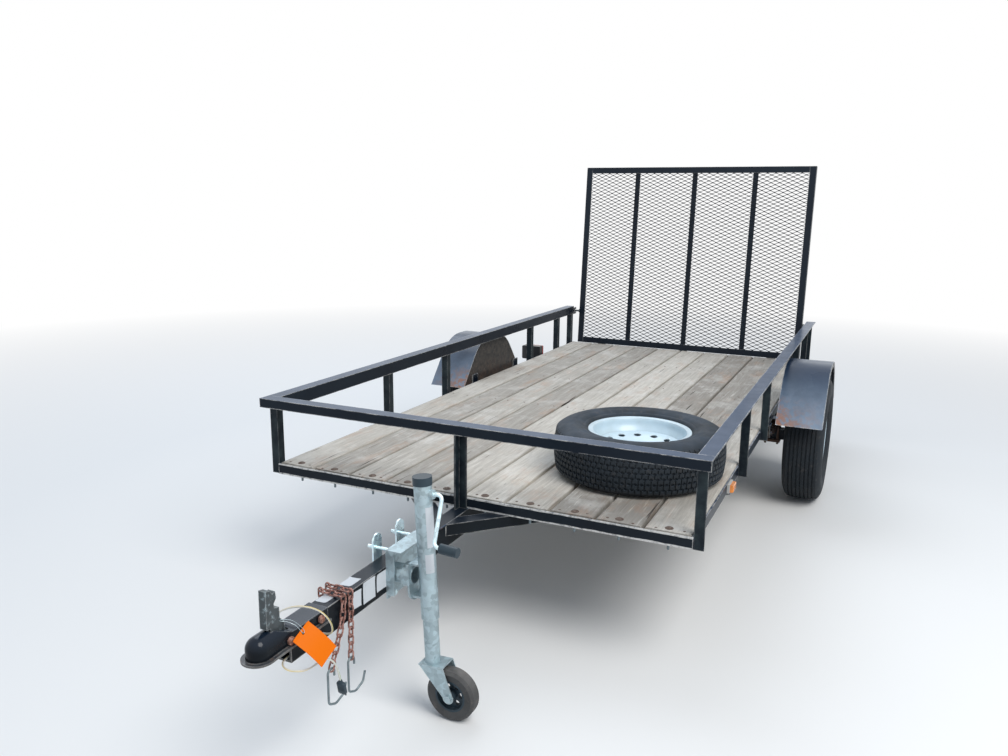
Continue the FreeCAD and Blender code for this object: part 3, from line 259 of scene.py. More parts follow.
# A mask at the edges: worn edges on most finishes, painted shade along the boards' edges
@effect("Edge wear", ("Width", "Breakup", "Amount"))
def edge_wear_and_shade(tree, width, breakup, amount):
    soft = add(tree, "ShaderNodeBevel", {"Radius": width}, samples=6).outputs[0]
    plain = add(tree, "ShaderNodeNewGeometry").outputs["Normal"]
    same = add(tree, "ShaderNodeVectorMath", {0: soft, 1: plain}, operation="DOT_PRODUCT").outputs["Value"]
    edge = times(tree, calc(tree, "SUBTRACT", 1.0, same), 9.0)
    return [times(tree, edge, remap(tree, grit(tree, breakup, 5.0, 0.7), 0.36, 0.60), amount)]


@effect("Speckle", ("Scale", "Cover", "Softness"))
def speckle(tree, scale, cover, softness):
    value = grit(tree, scale, 7.0, 0.68)
    low = calc(tree, "SUBTRACT", 0.78, cover)
    return [remap(tree, value, low, calc(tree, "ADD", low, softness))]


@effect("Settled dust", ("Scale", "Amount"))
def settled_dust(tree, scale, amount):
    level = remap(tree, facing(tree, 2), 0.25, 0.95)
    return [times(tree, level, remap(tree, grit(tree, scale, 6.0, 0.6), 0.32, 0.66), amount)]


@effect("Sky side", ("Low", "High"))
def sky_side(tree, low, high):
    return [remap(tree, facing(tree, 2), low, high)]


@effect("Height band", ("Full", "None", "Scale", "Wander"))
def height_band(tree, full, none, scale, wander):
    """A mask that is full at one height and gone at another, with an uneven border."""
    uneven = calc(tree, "SUBTRACT", grit(tree, scale, 5.0, 0.65), 0.5)
    return [remap(tree, calc(tree, "MULTIPLY_ADD", uneven, wander, own_place(tree, 2)), full, none, 1.0, 0.0)]


@effect("Zinc spangle", ("Scale",), ("Tone",))
def spangle(tree, scale):
    cells = add(tree, "ShaderNodeTexVoronoi", {"Vector": placed(tree), "Scale": scale}, feature="F1")
    tone = add(tree, "ShaderNodeSeparateColor", {0: cells.outputs["Color"]}).outputs[0]
    return [calc(tree, "ADD", times(tree, tone, 0.45), times(tree, grit(tree, 9.0, 4.0, 0.6), 0.55))]


@effect("Board grain", ("Crack depth",), ("Lines", "Crack", "Stain", "Height"))
def board_grain(tree, crack_depth):
    """Lengthwise grain, long cracks and stains of sawn boards along X. Each board has its own shift."""
    shift = board_value(tree, "board_shift")
    offset = add(tree, "ShaderNodeCombineXYZ", {0: shift, 1: shift, 2: shift}).outputs[0]
    fine = grit(tree, 1.0, 6.0, 0.62, placed(tree, (11.0, 260.0, 260.0), offset))
    wavy = grit(tree, 1.0, 5.0, 0.55, placed(tree, (5.0, 75.0, 75.0), offset), 0.6)
    crack = remap(tree, grit(tree, 1.0, 3.0, 0.5, placed(tree, (3.2, 110.0, 30.0), offset), 0.3), 0.68, 0.72)
    stain = remap(tree, grit(tree, 1.0, 8.0, 0.75, placed(tree, (4.0, 10.0, 10.0), offset)), 0.53, 0.66)
    lines = calc(tree, "ADD", times(tree, fine, 0.55), times(tree, wavy, 0.45))
    return [lines, crack, stain, calc(tree, "SUBTRACT", lines, times(tree, crack, crack_depth))]


def shader(name, roughness, metallic=0.0, **plain):
    """A new material with its Principled shader. Plain values go straight on its sockets."""
    material = bpy.data.materials.new(name)
    material.use_nodes = True
    tree = material.node_tree
    main = next(n for n in tree.nodes if n.type == "BSDF_PRINCIPLED")
    main.inputs["Roughness"].default_value = roughness
    main.inputs["Metallic"].default_value = metallic
    for label, value in plain.items():
        feed(tree, main.inputs[label.replace("_", " ")], value)
    return material, tree, main


def dressed(material, base, rough, height, strength, distance):
    """The material with its colour, roughness and relief joined to its shader."""
    tree = material.node_tree
    main = next(n for n in tree.nodes if n.type == "BSDF_PRINCIPLED")
    feed(tree, main.inputs["Base Color"], base)
    feed(tree, main.inputs["Roughness"], rough)
    bump = add(tree, "ShaderNodeBump", {"Height": height, "Strength": strength, "Distance": distance})
    feed(tree, main.inputs["Normal"], bump.outputs[0])
    return material


# Finishes

def enamel(
    name, wear, rust, dust, gloss, rusty_part=None, scuffs=None, sheen=0.9, crisp=0.24, films=(),
    chalk=(0.012, 0.028, 0.055),
):
    """Black enamel with bright worn edges, rust specks, blue-tinted dust, and a painted blue sky reflection
    on the faces that look up.
    """
    material, tree, main = shader(
        name, gloss, Specular_IOR_Level=0.10, Coat_Roughness=crisp, Coat_Tint=(0.70, 0.84, 1.0, 1.0)
    )
    c = colours()
    tone = grit(tree, 3.5, 5.0, 0.6)
    sky = sky_side(tree, -0.1, 0.7)
    base = mix(tree, remap(tree, tone, 0.35, 0.7), c.enamel, (0.0085, 0.0125, 0.0160))
    # Painted reflection: the faces that look up take a blue tint that stands in for the sky's reflection
    base = mix(tree, sky, base, chalk)
    # Dust settles on the faces that look up; its blue tint is partly painted sky reflection
    dusty = settled_dust(tree, 7.0, dust)
    base = mix(tree, dusty, base, (0.046, 0.056, 0.076))
    # Layers over the base: chalk, dirt and wear, and on the fenders a painted sky sheen
    for film, film_colour in films:
        base = mix(tree, film(tree), base, film_colour)
    patches = speckle(tree, 11.0, rust * 1.4 + 0.02, 0.12)
    rusty = calc(tree, "MAXIMUM", speckle(tree, 85.0, rust, 0.05), times(tree, patches, 0.6))
    if rusty_part is not None:
        rusty = calc(tree, "MAXIMUM", rusty, rusty_part(tree))
    base = mix(tree, rusty, base, mix(tree, grit(tree, 140.0, 3.0, 0.6), c.rust, (0.36, 0.17, 0.10)))
    worn = edge_wear_and_shade(tree, 0.005, 26.0, wear)
    if scuffs is not None:
        worn = calc(tree, "MAXIMUM", worn, scuffs(tree))
    base = mix(tree, worn, base, c.bare_steel)
    rough = mix_value(tree, dusty, remap(tree, tone, 0.3, 0.7, gloss - 0.06, gloss + 0.14), 0.62)
    rough = mix_value(tree, worn, mix_value(tree, rusty, rough, 0.88), 0.42)
    feed(tree, main.inputs["Metallic"], times(tree, worn, 0.15))
    clean = calc(tree, "SUBTRACT", 1.0, calc(tree, "MAXIMUM", rusty, worn))
    feed(tree, main.inputs["Coat Weight"], times(tree, sky, clean, sheen))
    return dressed(material, base, rough, calc(tree, "ADD", grit(tree, 220.0, 3.0, 0.6), rusty), 0.10, 0.0006)


def sill_scuffs(tree):
    """Pale wear along the sills' lower and upper edges."""
    low, high = (corner.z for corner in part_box("bed_end_sills"))
    bottom = height_band(tree, low + 0.0045, low + 0.0062, 9.0, 0.009)
    top = height_band(tree, high - 0.0035, high - 0.0050, 6.0, 0.008)
    broken = remap(tree, grit(tree, 60.0, 5.0, 0.7), 0.36, 0.52, 0.35, 1.0)
    return times(tree, calc(tree, "MAXIMUM", bottom, top), broken)


def side_facing(tree, full=1.0, none=0.0):
    """A mask that runs from one value to another as the surface turns to the left or the right."""
    return remap(tree, calc(tree, "ABSOLUTE", facing(tree, 1)), 0.5, 0.9, none, full)


def fender_rust(tree):
    """Rust along the fenders' low ends, most of it on the side next to the bed."""
    band = height_band(tree, 0.455, 0.56, 9.0, 0.12)
    inboard = remap(tree, calc(tree, "ABSOLUTE", own_place(tree, 1)), 0.80, 0.98, 1.0, 0.12)
    return times(tree, band, speckle(tree, 30.0, 0.36, 0.12), inboard, side_facing(tree, 0.12, 1.0))


def fender_side_dirt(tree):
    """Brown-grey road dirt on the fenders' side plates."""
    return times(tree, side_facing(tree), remap(tree, grit(tree, 55.0, 7.0, 0.75), 0.34, 0.66, 0.15, 1.0))


def fender_painted_sheen(tree):
    """Painted sky sheen on the fenders' front slope: a pale blue that stands in for the sky's reflection,
    stronger further down, in clouds.
    """
    ahead = remap(tree, facing(tree, 0), 0.35, 0.85)
    cloud = remap(tree, grit(tree, 14.0, 6.0, 0.65), 0.30, 0.62, 0.70, 1.0)
    return times(tree, height_band(tree, 0.46, 0.68, 5.0, 0.06), ahead, cloud)


def post_film(tree):
    """Grey-green chalky film in clouds on the posts."""
    return remap(tree, grit(tree, 16.0, 7.0, 0.7), 0.40, 0.68, 0.05, 0.9)


def brim_band(tree):
    """The coupler's low lip."""
    return height_band(tree, 0.4030, 0.4055, 40.0, 0.002)


def coupler_brim(tree):
    """A little rust along the coupler's low lip."""
    return times(tree, brim_band(tree), speckle(tree, 60.0, 0.26, 0.16), 0.30)


def coupler_film(tree):
    """Wear and dirt on the whole of the low lip."""
    return times(tree, brim_band(tree), remap(tree, grit(tree, 50.0, 5.0, 0.65), 0.35, 0.6, 0.5, 1.0))


def boards_finish():
    """Grey weathered wood: pale and dark grain, clouds, stains, specks, cracks, and painted shade along the
    board edges.
    """
    material, tree, _ = shader("Weathered boards", 0.82)
    c = colours()
    lines, crack, stain, height = board_grain(tree, 0.9)
    tone = board_value(tree, "board_tone")
    light = mix(tree, times(tree, tone, tone), c.board_light, (0.30, 0.28, 0.25))
    base = mix(tree, remap(tree, lines, 0.42, 0.62), light, mix(tree, 0.34, light, c.board_dark))
    base = tint(tree, base, remap(tree, lines, 0.34, 0.44, 1.0, 0.0), 0.6, (0.70, 0.67, 0.62))
    base = tint(tree, base, remap(tree, grit(tree, 6.0, 7.0, 0.72), 0.50, 0.70), 0.5, (0.70, 0.68, 0.64))
    base = tint(tree, base, remap(tree, grit(tree, 9.0, 7.0, 0.75), 0.56, 0.72), 0.35, (0.33, 0.30, 0.26))
    base = tint(tree, base, stain, 0.30, c.needle_stain)
    base = tint(tree, base, speckle(tree, 120.0, 0.14, 0.06), 0.6, (0.10, 0.08, 0.065))
    base = mix(tree, crack, base, (0.045, 0.036, 0.030))
    # Painted shade: the board edges are darkened so that the gaps between boards look deep in shadow
    base = tint(tree, base, edge_wear_and_shade(tree, 0.007, 14.0, 1.0), 0.75, (0.050, 0.040, 0.033))
    return dressed(material, base, remap(tree, lines, 0.3, 0.7, 0.74, 0.92), height, 0.75, 0.0022)


def tyre_finish(name, dusty, film, soiled, pale):
    """Rubber, paler in clouds, with a film of dust on the faces that look up and spots of soil."""
    material, tree, _ = shader(name, 0.78, Specular_IOR_Level=0.3)
    cloud = remap(tree, grit(tree, 16.0, 6.0, 0.65), 0.34, 0.70)
    base = mix(tree, cloud, mix(tree, 0.5, colours().tyre, pale), pale)
    base = mix(tree, settled_dust(tree, 10.0, dusty), base, film)
    base = tint(tree, base, speckle(tree, 46.0, 0.22, 0.16), soiled, (0.16, 0.135, 0.115))
    rough = remap(tree, cloud, 0.0, 1.0, 0.62, 0.84)
    return dressed(material, base, rough, grit(tree, 420.0, 3.0, 0.6), 0.18, 0.0005)


def wheel_finish(name, shaded=False):
    """Pale enamel with soil and chipped edges. A shaded wheel is dark below its face, inside the tyre."""
    material, tree, _ = shader(name, 0.36, Coat_Weight=0.3, Coat_Roughness=0.2)
    cloud = remap(tree, grit(tree, 12.0, 5.0, 0.6), 0.40, 0.75)
    base = mix(tree, cloud, colours().wheel, (0.46, 0.57, 0.62))
    soil = speckle(tree, 38.0, 0.12, 0.14)
    base = tint(tree, base, soil, 0.35, (0.34, 0.31, 0.27))
    base = mix(tree, edge_wear_and_shade(tree, 0.003, 40.0, 0.5), base, colours().rust)
    if shaded:
        base = mix(tree, height_band(tree, 0.553, 0.556, 30.0, 0.0), base, (0.02, 0.018, 0.016))
    rough = mix_value(tree, soil, 0.34, 0.6)
    return dressed(material, base, rough, grit(tree, 160.0, 3.0, 0.6), 0.05, 0.0004)


def zinc_finish(name, rust=0.03, metal=0.70, gloss=0.42, shade=1.0, grime_cover=0.16):
    """Zinc plate with its spangle, white bloom, grime and a little rust."""
    material, tree, main = shader(name, gloss, metal)
    tone = spangle(tree, 85.0)
    zinc = tuple(shade * k for k in colours().zinc)
    base = mix(tree, remap(tree, tone, 0.25, 0.75), zinc, tuple(1.55 * k for k in zinc))
    white = speckle(tree, 22.0, 0.20, 0.2)
    base = tint(tree, base, white, 0.40, tuple(shade * k for k in (0.46, 0.49, 0.50)))
    grime = speckle(tree, 70.0, grime_cover, 0.10)
    base = tint(tree, base, grime, 0.4 + 1.5 * (grime_cover - 0.16), (0.028, 0.030, 0.032))
    rusty = speckle(tree, 30.0, rust + 0.04, 0.08)
    base = mix(tree, rusty, base, colours().rust)
    base = mix(tree, edge_wear_and_shade(tree, 0.0035, 20.0, 0.55), base, (0.62, 0.68, 0.70))
    rough = mix_value(tree, white, remap(tree, tone, 0.2, 0.8, gloss - 0.07, gloss + 0.13), 0.66)
    shine = mix_value(tree, white, metal, metal * 0.55)
    feed(tree, main.inputs["Metallic"], mix_value(tree, rusty, shine, 0.0))
    rough = mix_value(tree, rusty, rough, 0.88)
    return dressed(material, base, rough, grit(tree, 260.0, 4.0, 0.6), 0.12, 0.0005)


def rust_finish(name, base_colour, pale, share):
    """Steel that has rusted all over, with paler bloom."""
    material, tree, _ = shader(name, 0.88)
    cloud = remap(tree, grit(tree, 90.0, 6.0, 0.7), 0.32, 0.70)
    base = mix(tree, cloud, base_colour, (0.085, 0.045, 0.034))
    base = tint(tree, base, speckle(tree, 130.0, share, 0.10), 0.75, pale)
    rough = remap(tree, cloud, 0.0, 1.0, 0.78, 0.94)
    return dressed(material, base, rough, grit(tree, 700.0, 4.0, 0.65), 0.55, 0.0006)


def plastic_finish(name, colour, gloss, dust=0.2, coat=0.0, shine=0.5):
    """Moulded plastic, darker in clouds, with dust on the faces that look up."""
    material, tree, _ = shader(name, gloss, Coat_Weight=coat, Coat_Roughness=0.12, Specular_IOR_Level=shine)
    film = settled_dust(tree, 22.0, dust)
    cloud = remap(tree, grit(tree, 30.0, 4.0, 0.6), 0.35, 0.7, 0.0, 0.35)
    base = mix(tree, cloud, colour, tuple(0.55 * k + 0.004 for k in colour))
    base = mix(tree, film, base, (0.30, 0.29, 0.28))
    rough = mix_value(tree, film, gloss, min(0.9, gloss + 0.3))
    return dressed(material, base, rough, grit(tree, 500.0, 2.0, 0.5), 0.06, 0.0003)


def sheath_finish(name, colour):
    return plastic_finish(name, colour, 0.45, 0.05)


def paper_finish(name, colour, soil_share):
    """A blank label or tag: matt, with smudges and worn edges."""
    material, tree, _ = shader(name, 0.62, Specular_IOR_Level=0.12)
    soil = speckle(tree, 55.0, soil_share, 0.2)
    base = tint(tree, colour, soil, 0.4, tuple(0.62 * k for k in colour))
    base = mix(tree, edge_wear_and_shade(tree, 0.002, 90.0, 0.35), base, tuple(0.5 * k for k in colour))
    rough = mix_value(tree, soil, 0.5, 0.75)
    return dressed(material, base, rough, grit(tree, 120.0, 4.0, 0.6), 0.10, 0.0006)


# On the fenders: a painted sky sheen on the front slope, and road dirt on the side plates
FENDER_FILMS_AND_SHEEN = [(fender_painted_sheen, (0.30, 0.355, 0.42)), (fender_side_dirt, (0.085, 0.074, 0.062))]
# Each finish as its function, its material's name and its values; a string names a colour of the settings
FINISHES = {
    "frame": (
        enamel, "Frame enamel", 0.9, 0.045, 0.45, 0.30, {"sheen": 0.48, "chalk": (0.022, 0.048, 0.095)},
    ),
    "post": (
        enamel, "Post enamel", 0.30, 0.06, 0.30, 0.34,
        {"sheen": 0.5, "films": [(post_film, (0.030, 0.044, 0.048))]},
    ),
    "sill": (enamel, "Sill enamel", 1.0, 0.045, 0.30, 0.34, {"scuffs": sill_scuffs}),
    "tongue": (
        enamel, "Tongue enamel", 0.6, 0.05, 0.10, 0.34, {"sheen": 0.18, "chalk": (0.006, 0.010, 0.016)},
    ),
    "gate": (enamel, "Gate enamel", 0.35, 0.03, 0.20, 0.36),
    "mesh": (enamel, "Mesh enamel", 0.05, 0.045, 0.10, 0.46, {"sheen": 0.2}),
    "fender": (
        enamel, "Fender enamel", 0.9, 0.03, 0.14, 0.24,
        {"rusty_part": fender_rust, "sheen": 0.62, "chalk": (0.016, 0.032, 0.060), "films": FENDER_FILMS_AND_SHEEN},
    ),
    "coupler": (
        enamel, "Coupler enamel", 0.35, 0.02, 0.02, 0.20,
        {"rusty_part": coupler_brim, "sheen": 0.32, "crisp": 0.16, "chalk": (0.006, 0.012, 0.022),
         "films": [(coupler_film, (0.10, 0.097, 0.092))]},
    ),
    "axle": (enamel, "Axle enamel", 0.5, 0.13, 0.55, 0.52),
    "weld": (enamel, "Weld enamel", 0.2, 0.11, 0.25, 0.40),
    "boards": (boards_finish,),
    "road_tyre": (tyre_finish, "Road tyre rubber", 0.3, (0.062, 0.070, 0.080), 0.2, (0.012, 0.018, 0.024)),
    "spare_tyre": (
        tyre_finish, "Spare tyre rubber", 0.75, (0.042, 0.060, 0.086), 0.22, (0.020, 0.028, 0.036),
    ),
    "caster_tyre": (tyre_finish, "Caster rubber", 0.8, (0.24, 0.23, 0.22), 0.5, (0.085, 0.085, 0.085)),
    "wheel": (wheel_finish, "Pale wheel enamel"),
    "spare_wheel": (wheel_finish, "Spare wheel enamel", True),
    "zinc": (zinc_finish, "Dull zinc"),
    "zinc_bright": (zinc_finish, "Bright zinc", 0.0, 0.75, 0.30, 1.9),
    "zinc_worn": (zinc_finish, "Worn zinc", 0.03, 0.5, 0.50, 0.60, 0.42),
    "hook": (zinc_finish, "Hook wire", 0.10, 0.6, 0.46, 0.45),
    "chain": (rust_finish, "Rusted chain", "chain", (0.50, 0.28, 0.24), 0.34),
    "bolt": (rust_finish, "Rusted bolts", (0.33, 0.14, 0.09), (0.55, 0.33, 0.27), 0.30),
    "spring": (rust_finish, "Spring steel", (0.10, 0.062, 0.045), (0.22, 0.13, 0.085), 0.20),
    "hub": (rust_finish, "Hub steel", (0.075, 0.055, 0.047), (0.24, 0.13, 0.08), 0.22),
    "screw": (rust_finish, "Deck screws", (0.16, 0.13, 0.11), (0.34, 0.24, 0.18), 0.22),
    "marker": (plastic_finish, "Marker plate", (0.50, 0.50, 0.48), 0.5, 0.15),
    "lamp": (plastic_finish, "Lamp housing", (0.014, 0.015, 0.018), 0.34, 0.30, 0.2),
    "grip": (plastic_finish, "Moulded black", (0.030, 0.050, 0.066), 0.40, 0.04, 0.0, 0.25),
    "lens_red": (plastic_finish, "Red lens", "lens_red", 0.16, 0.22, 0.6),
    "lens_amber": (plastic_finish, "Amber lens", "lens_amber", 0.16, 0.15, 0.6),
    "tag": (paper_finish, "Tag card", "tag", 0.12),
    "label": (paper_finish, "Label paper", "label", 0.20),
    "wire_cream": (sheath_finish, "Cream sheath", (0.72, 0.69, 0.58)),
    "wire_yellow": (sheath_finish, "Yellow sheath", (0.70, 0.56, 0.24)),
    "wire_green": (sheath_finish, "Green sheath", (0.34, 0.47, 0.24)),
    "wire_white": (sheath_finish, "White sheath", (0.74, 0.74, 0.70)),
}
made_finishes = {}


def finish(name):
    """The material of this finish, made when it's first asked for."""
    if name not in made_finishes:
        work, *values = FINISHES[name]
        named = values.pop() if values and isinstance(values[-1], dict) else {}
        values = values[:1] + [getattr(colours(), k) if isinstance(k, str) else k for k in values[1:]]
        made_finishes[name] = work(*values, **named)
    return made_finishes[name]


# Mesh building

class Soup:
    """Points and faces gathered for one mesh."""

    def __init__(self):
        self.points, self.faces = [], []

    def add_grid(self, rows, closed_along=False, closed_across=False, cap_ends=False):
        """Joins rows of points, each as long as the next, with quads."""
        base, width, count = len(self.points), len(rows[0]), len(rows)
        for row in rows:
            self.points.extend(row)
        for i in range(count if closed_along else count - 1):
            first, second = base + i * width, base + (i + 1) % count * width
            for k in range(width if closed_across else width - 1):
                after = (k + 1) % width
                self.faces.append((first + k, first + after, second + after, second + k))
        if cap_ends:
            self.faces.append(tuple(base + k for k in reversed(range(width))))
            self.faces.append(tuple(base + (count - 1) * width + k for k in range(width)))

    def add_turned(self, outline, centre, axis, steps, start_angle=0.0, closed=False):
        """Turns an outline of (radius, height) pairs in millimetres round an axis through the centre."""
        outline = [(mm(radius), mm(height)) for radius, height in outline]
        axis = Vector(axis).normalized()
        side = axis.orthogonal().normalized()
        other = axis.cross(side)
        rows = []
        for i in range(steps):
            turn = start_angle + math.tau * i / steps
            out = side * math.cos(turn) + other * math.sin(turn)
            rows.append([centre + out * radius + axis * height for radius, height in outline])
        self.add_grid(rows, closed_along=True, closed_across=closed)

    def add_sweep(self, path, section, closed=False):
        """Carries a section along a path. The section is pairs, or a function of the place's number."""
        rows = []
        for i, (point, side, up) in enumerate(frames_along(path, closed)):
            pairs = section(i) if callable(section) else section
            rows.append([point + side * a + up * b for a, b in pairs])
        self.add_grid(rows, closed_along=closed, closed_across=True, cap_ends=not closed)


def frames_along(path, closed=False):
    """Each point of a path with two directions square to its heading, without needless twist."""
    count = len(path)
    frames = []
    side = None
    for i, point in enumerate(path):
        before = path[i - 1] if i or closed else path[0]
        after = path[(i + 1) % count] if i < count - 1 or closed else path[-1]
        heading = (after - before).normalized()
        if side is None:
            side = heading.orthogonal()
        side = (side - heading * side.dot(heading)).normalized()
        frames.append((point, side, heading.cross(side)))
    return frames


def ring(radius, count):
    """Points round a circle, as pairs."""
    places = (math.tau * k / count for k in range(count))
    return [(radius * math.cos(a), radius * math.sin(a)) for a in places]


def settled(name, soup, coat, body, replaced=(), sharp=60, merge=False):
    """Makes a piece of the gathered mesh, with its finish and body, in place of the nodes it stands for."""
    mesh = bpy.data.meshes.new(name)
    mesh.from_pydata([tuple(point) for point in soup.points], [], soup.faces)
    mesh.validate()
    if merge:
        work = bmesh.new()
        work.from_mesh(mesh)
        bmesh.ops.remove_doubles(work, verts=work.verts, dist=0.00001)
        bmesh.ops.recalc_face_normals(work, faces=work.faces)
        work.to_mesh(mesh)
        work.free()
    mesh.polygons.foreach_set("use_smooth", [True] * len(mesh.polygons))
    mesh.set_sharp_from_angle(angle=math.radians(sharp))
    mesh.materials.append(finish(coat))
    piece = bpy.data.objects.new(name, mesh)
    bpy.context.scene.collection.objects.link(piece)
    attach(piece, body)
    if replaced:
        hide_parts(*replaced)
    return piece


def spread(seed, low, high):
    """A repeatable number between low and high for a seed."""
    value = math.sin(seed * 12.9898 + 4.1) * 43758.5453
    return low + (high - low) * (value - math.floor(value))


# Camera, lamps and floor

CAMERA_PLACE = bed(2272.1, 1216.8, 991.8)
CAMERA_YAW, CAMERA_PITCH, CAMERA_ROLL = 25.166, 12.137, -0.586
CAMERA_FOCAL_PIXELS, PHOTO_WIDTH = 825.78, 1008.0
FLOOR_HALF, FLOOR_FADE = 40.0, (2.6, 8.0)
LAMP_TARGET = Vector((0.0, 0.0, 0.4))


def make_camera():
    """The camera that took the photograph, with its roll."""
    yaw, pitch, roll = (math.radians(k) for k in (CAMERA_YAW, CAMERA_PITCH, CAMERA_ROLL))
    ahead = Vector((-math.cos(yaw) * math.cos(pitch), -math.sin(yaw) * math.cos(pitch), -math.sin(pitch)))
    right = ahead.cross(Vector((0, 0, 1))).normalized()
    down = ahead.cross(right)
    tilted_right = right * math.cos(roll) + down * math.sin(roll)
    tilted_down = down * math.cos(roll) - right * math.sin(roll)
    data = bpy.data.cameras.new("Camera")
    data.sensor_width = 36.0
    data.lens = CAMERA_FOCAL_PIXELS / PHOTO_WIDTH * data.sensor_width
    camera = bpy.data.objects.new("Camera", data)
    turn = Matrix((tilted_right, -tilted_down, -ahead)).transposed()
    camera.matrix_world = Matrix.Translation(CAMERA_PLACE) @ turn.to_4x4()
    bpy.context.scene.collection.objects.link(camera)
    bpy.context.scene.camera = camera


def make_lamp(name, place, size, power, colour):
    """A round lamp that points at the trailer's middle."""
    data = bpy.data.lights.new(name, "AREA")
    data.shape, data.size, data.energy, data.color = "DISK", size, power, colour
    lamp = bpy.data.objects.new(name, data)
    lamp.location = place
    lamp.rotation_euler = (LAMP_TARGET - Vector(place)).to_track_quat("-Z", "Y").to_euler()
    bpy.context.scene.collection.objects.link(lamp)


def make_world():
    """A pale blue sky that looks white to the camera and in reflections."""
    world = bpy.data.worlds.new("Studio")
    world.use_nodes = True
    tree = world.node_tree
    back = next(n for n in tree.nodes if n.type == "BACKGROUND")
    path = add(tree, "ShaderNodeLightPath")
    seen = calc(tree, "MAXIMUM", path.outputs["Is Camera Ray"], path.outputs["Is Glossy Ray"])
    seen = calc(tree, "MAXIMUM", seen, path.outputs["Is Transmission Ray"])
    feed(tree, back.inputs["Color"], mix(tree, seen, (0.40, 0.455, 0.53), (1.0, 1.0, 1.0)))
    bpy.context.scene.world = world


def make_floor():
    """A wide floor that turns into plain white away from the trailer."""
    middle = (CAD_BOX[0][0] + CAD_BOX[1][0]) / 2
    near, far = middle - FLOOR_HALF, middle + FLOOR_HALF
    corners = [(near, -FLOOR_HALF, 0), (far, -FLOOR_HALF, 0), (far, FLOOR_HALF, 0), (near, FLOOR_HALF, 0)]
    mesh = bpy.data.meshes.new("Floor")
    mesh.from_pydata(corners, [], [(0, 1, 2, 3)])
    floor = bpy.data.objects.new("Floor", mesh)
    bpy.context.scene.collection.objects.link(floor)
    material, tree, main = shader("Studio floor", 0.85)
    feed(tree, main.inputs["Base Color"], colours().floor)
    place = add(tree, "ShaderNodeNewGeometry").outputs["Position"]
    away = add(tree, "ShaderNodeVectorMath", {0: place, 1: (middle, 0.0, 0.0)}, operation="DISTANCE")
    white = add(tree, "ShaderNodeEmission", {"Color": (1.0, 1.0, 1.0), "Strength": 1.0}).outputs[0]
    share = remap(tree, away.outputs["Value"], *FLOOR_FADE)
    fade = add(tree, "ShaderNodeMixShader", {0: share, 1: main.outputs[0], 2: white})
    out = next(n for n in tree.nodes if n.type == "OUTPUT_MATERIAL")
    feed(tree, out.inputs["Surface"], fade.outputs[0])
    mesh.materials.append(material)


def make_stage():
    scene = bpy.context.scene
    scene.view_settings.view_transform = "Standard"
    make_camera()
    make_world()
    make_floor()
    make_lamp("Key lamp", (2.6, 3.6, 5.2), 4.0, 300.0, (1.0, 0.98, 0.95))
    make_lamp("Sky lamp", (-2.5, -3.0, 6.0), 6.0, 190.0, (0.86, 0.92, 1.0))


# Wiring

HARNESS_LOOP = [
    (775, 25.4, -58), (776, 56, -56), (787, 65, -17), (806, 48, 23), (828, 4, 36),
    (848, -38, 24), (860, -58, 2), (864, -52, -14), (864, -29.5, -14),
]
HARNESS_LEAD = [
    (881, 8, -68.7), (912, 10, -67), (925, 34, -74), (904, 54, -84), (874, 60, -93),
    (840, 61, -94), (806, 61, -100), (778, 61, -126), (762, 60, -162), (752, 58, -198),
]
HARNESS_DIAMETER = 0.005
HARNESS_TWISTS = 2.2
WIRES = ["wire_cream", "wire_yellow", "wire_green", "wire_white"]


def spline_points(name, route):
    """Points along a NURBS spline that has the route's points as its control points."""
    data = bpy.data.curves.new(name, "CURVE")
    data.dimensions = "3D"
    spline = data.splines.new("NURBS")
    spline.points.add(len(route) - 1)
    for point, place in zip(spline.points, route):
        point.co = (*bed(*place), 1.0)
    spline.order_u = 3
    spline.use_endpoint_u = True
    spline.resolution_u = 14
    holder = bpy.data.objects.new(name, data)
    line = bpy.data.meshes.new_from_object(holder)
    points = [vertex.co.copy() for vertex in line.vertices]
    bpy.data.objects.remove(holder)
    bpy.data.curves.remove(data)
    bpy.data.meshes.remove(line)
    return points


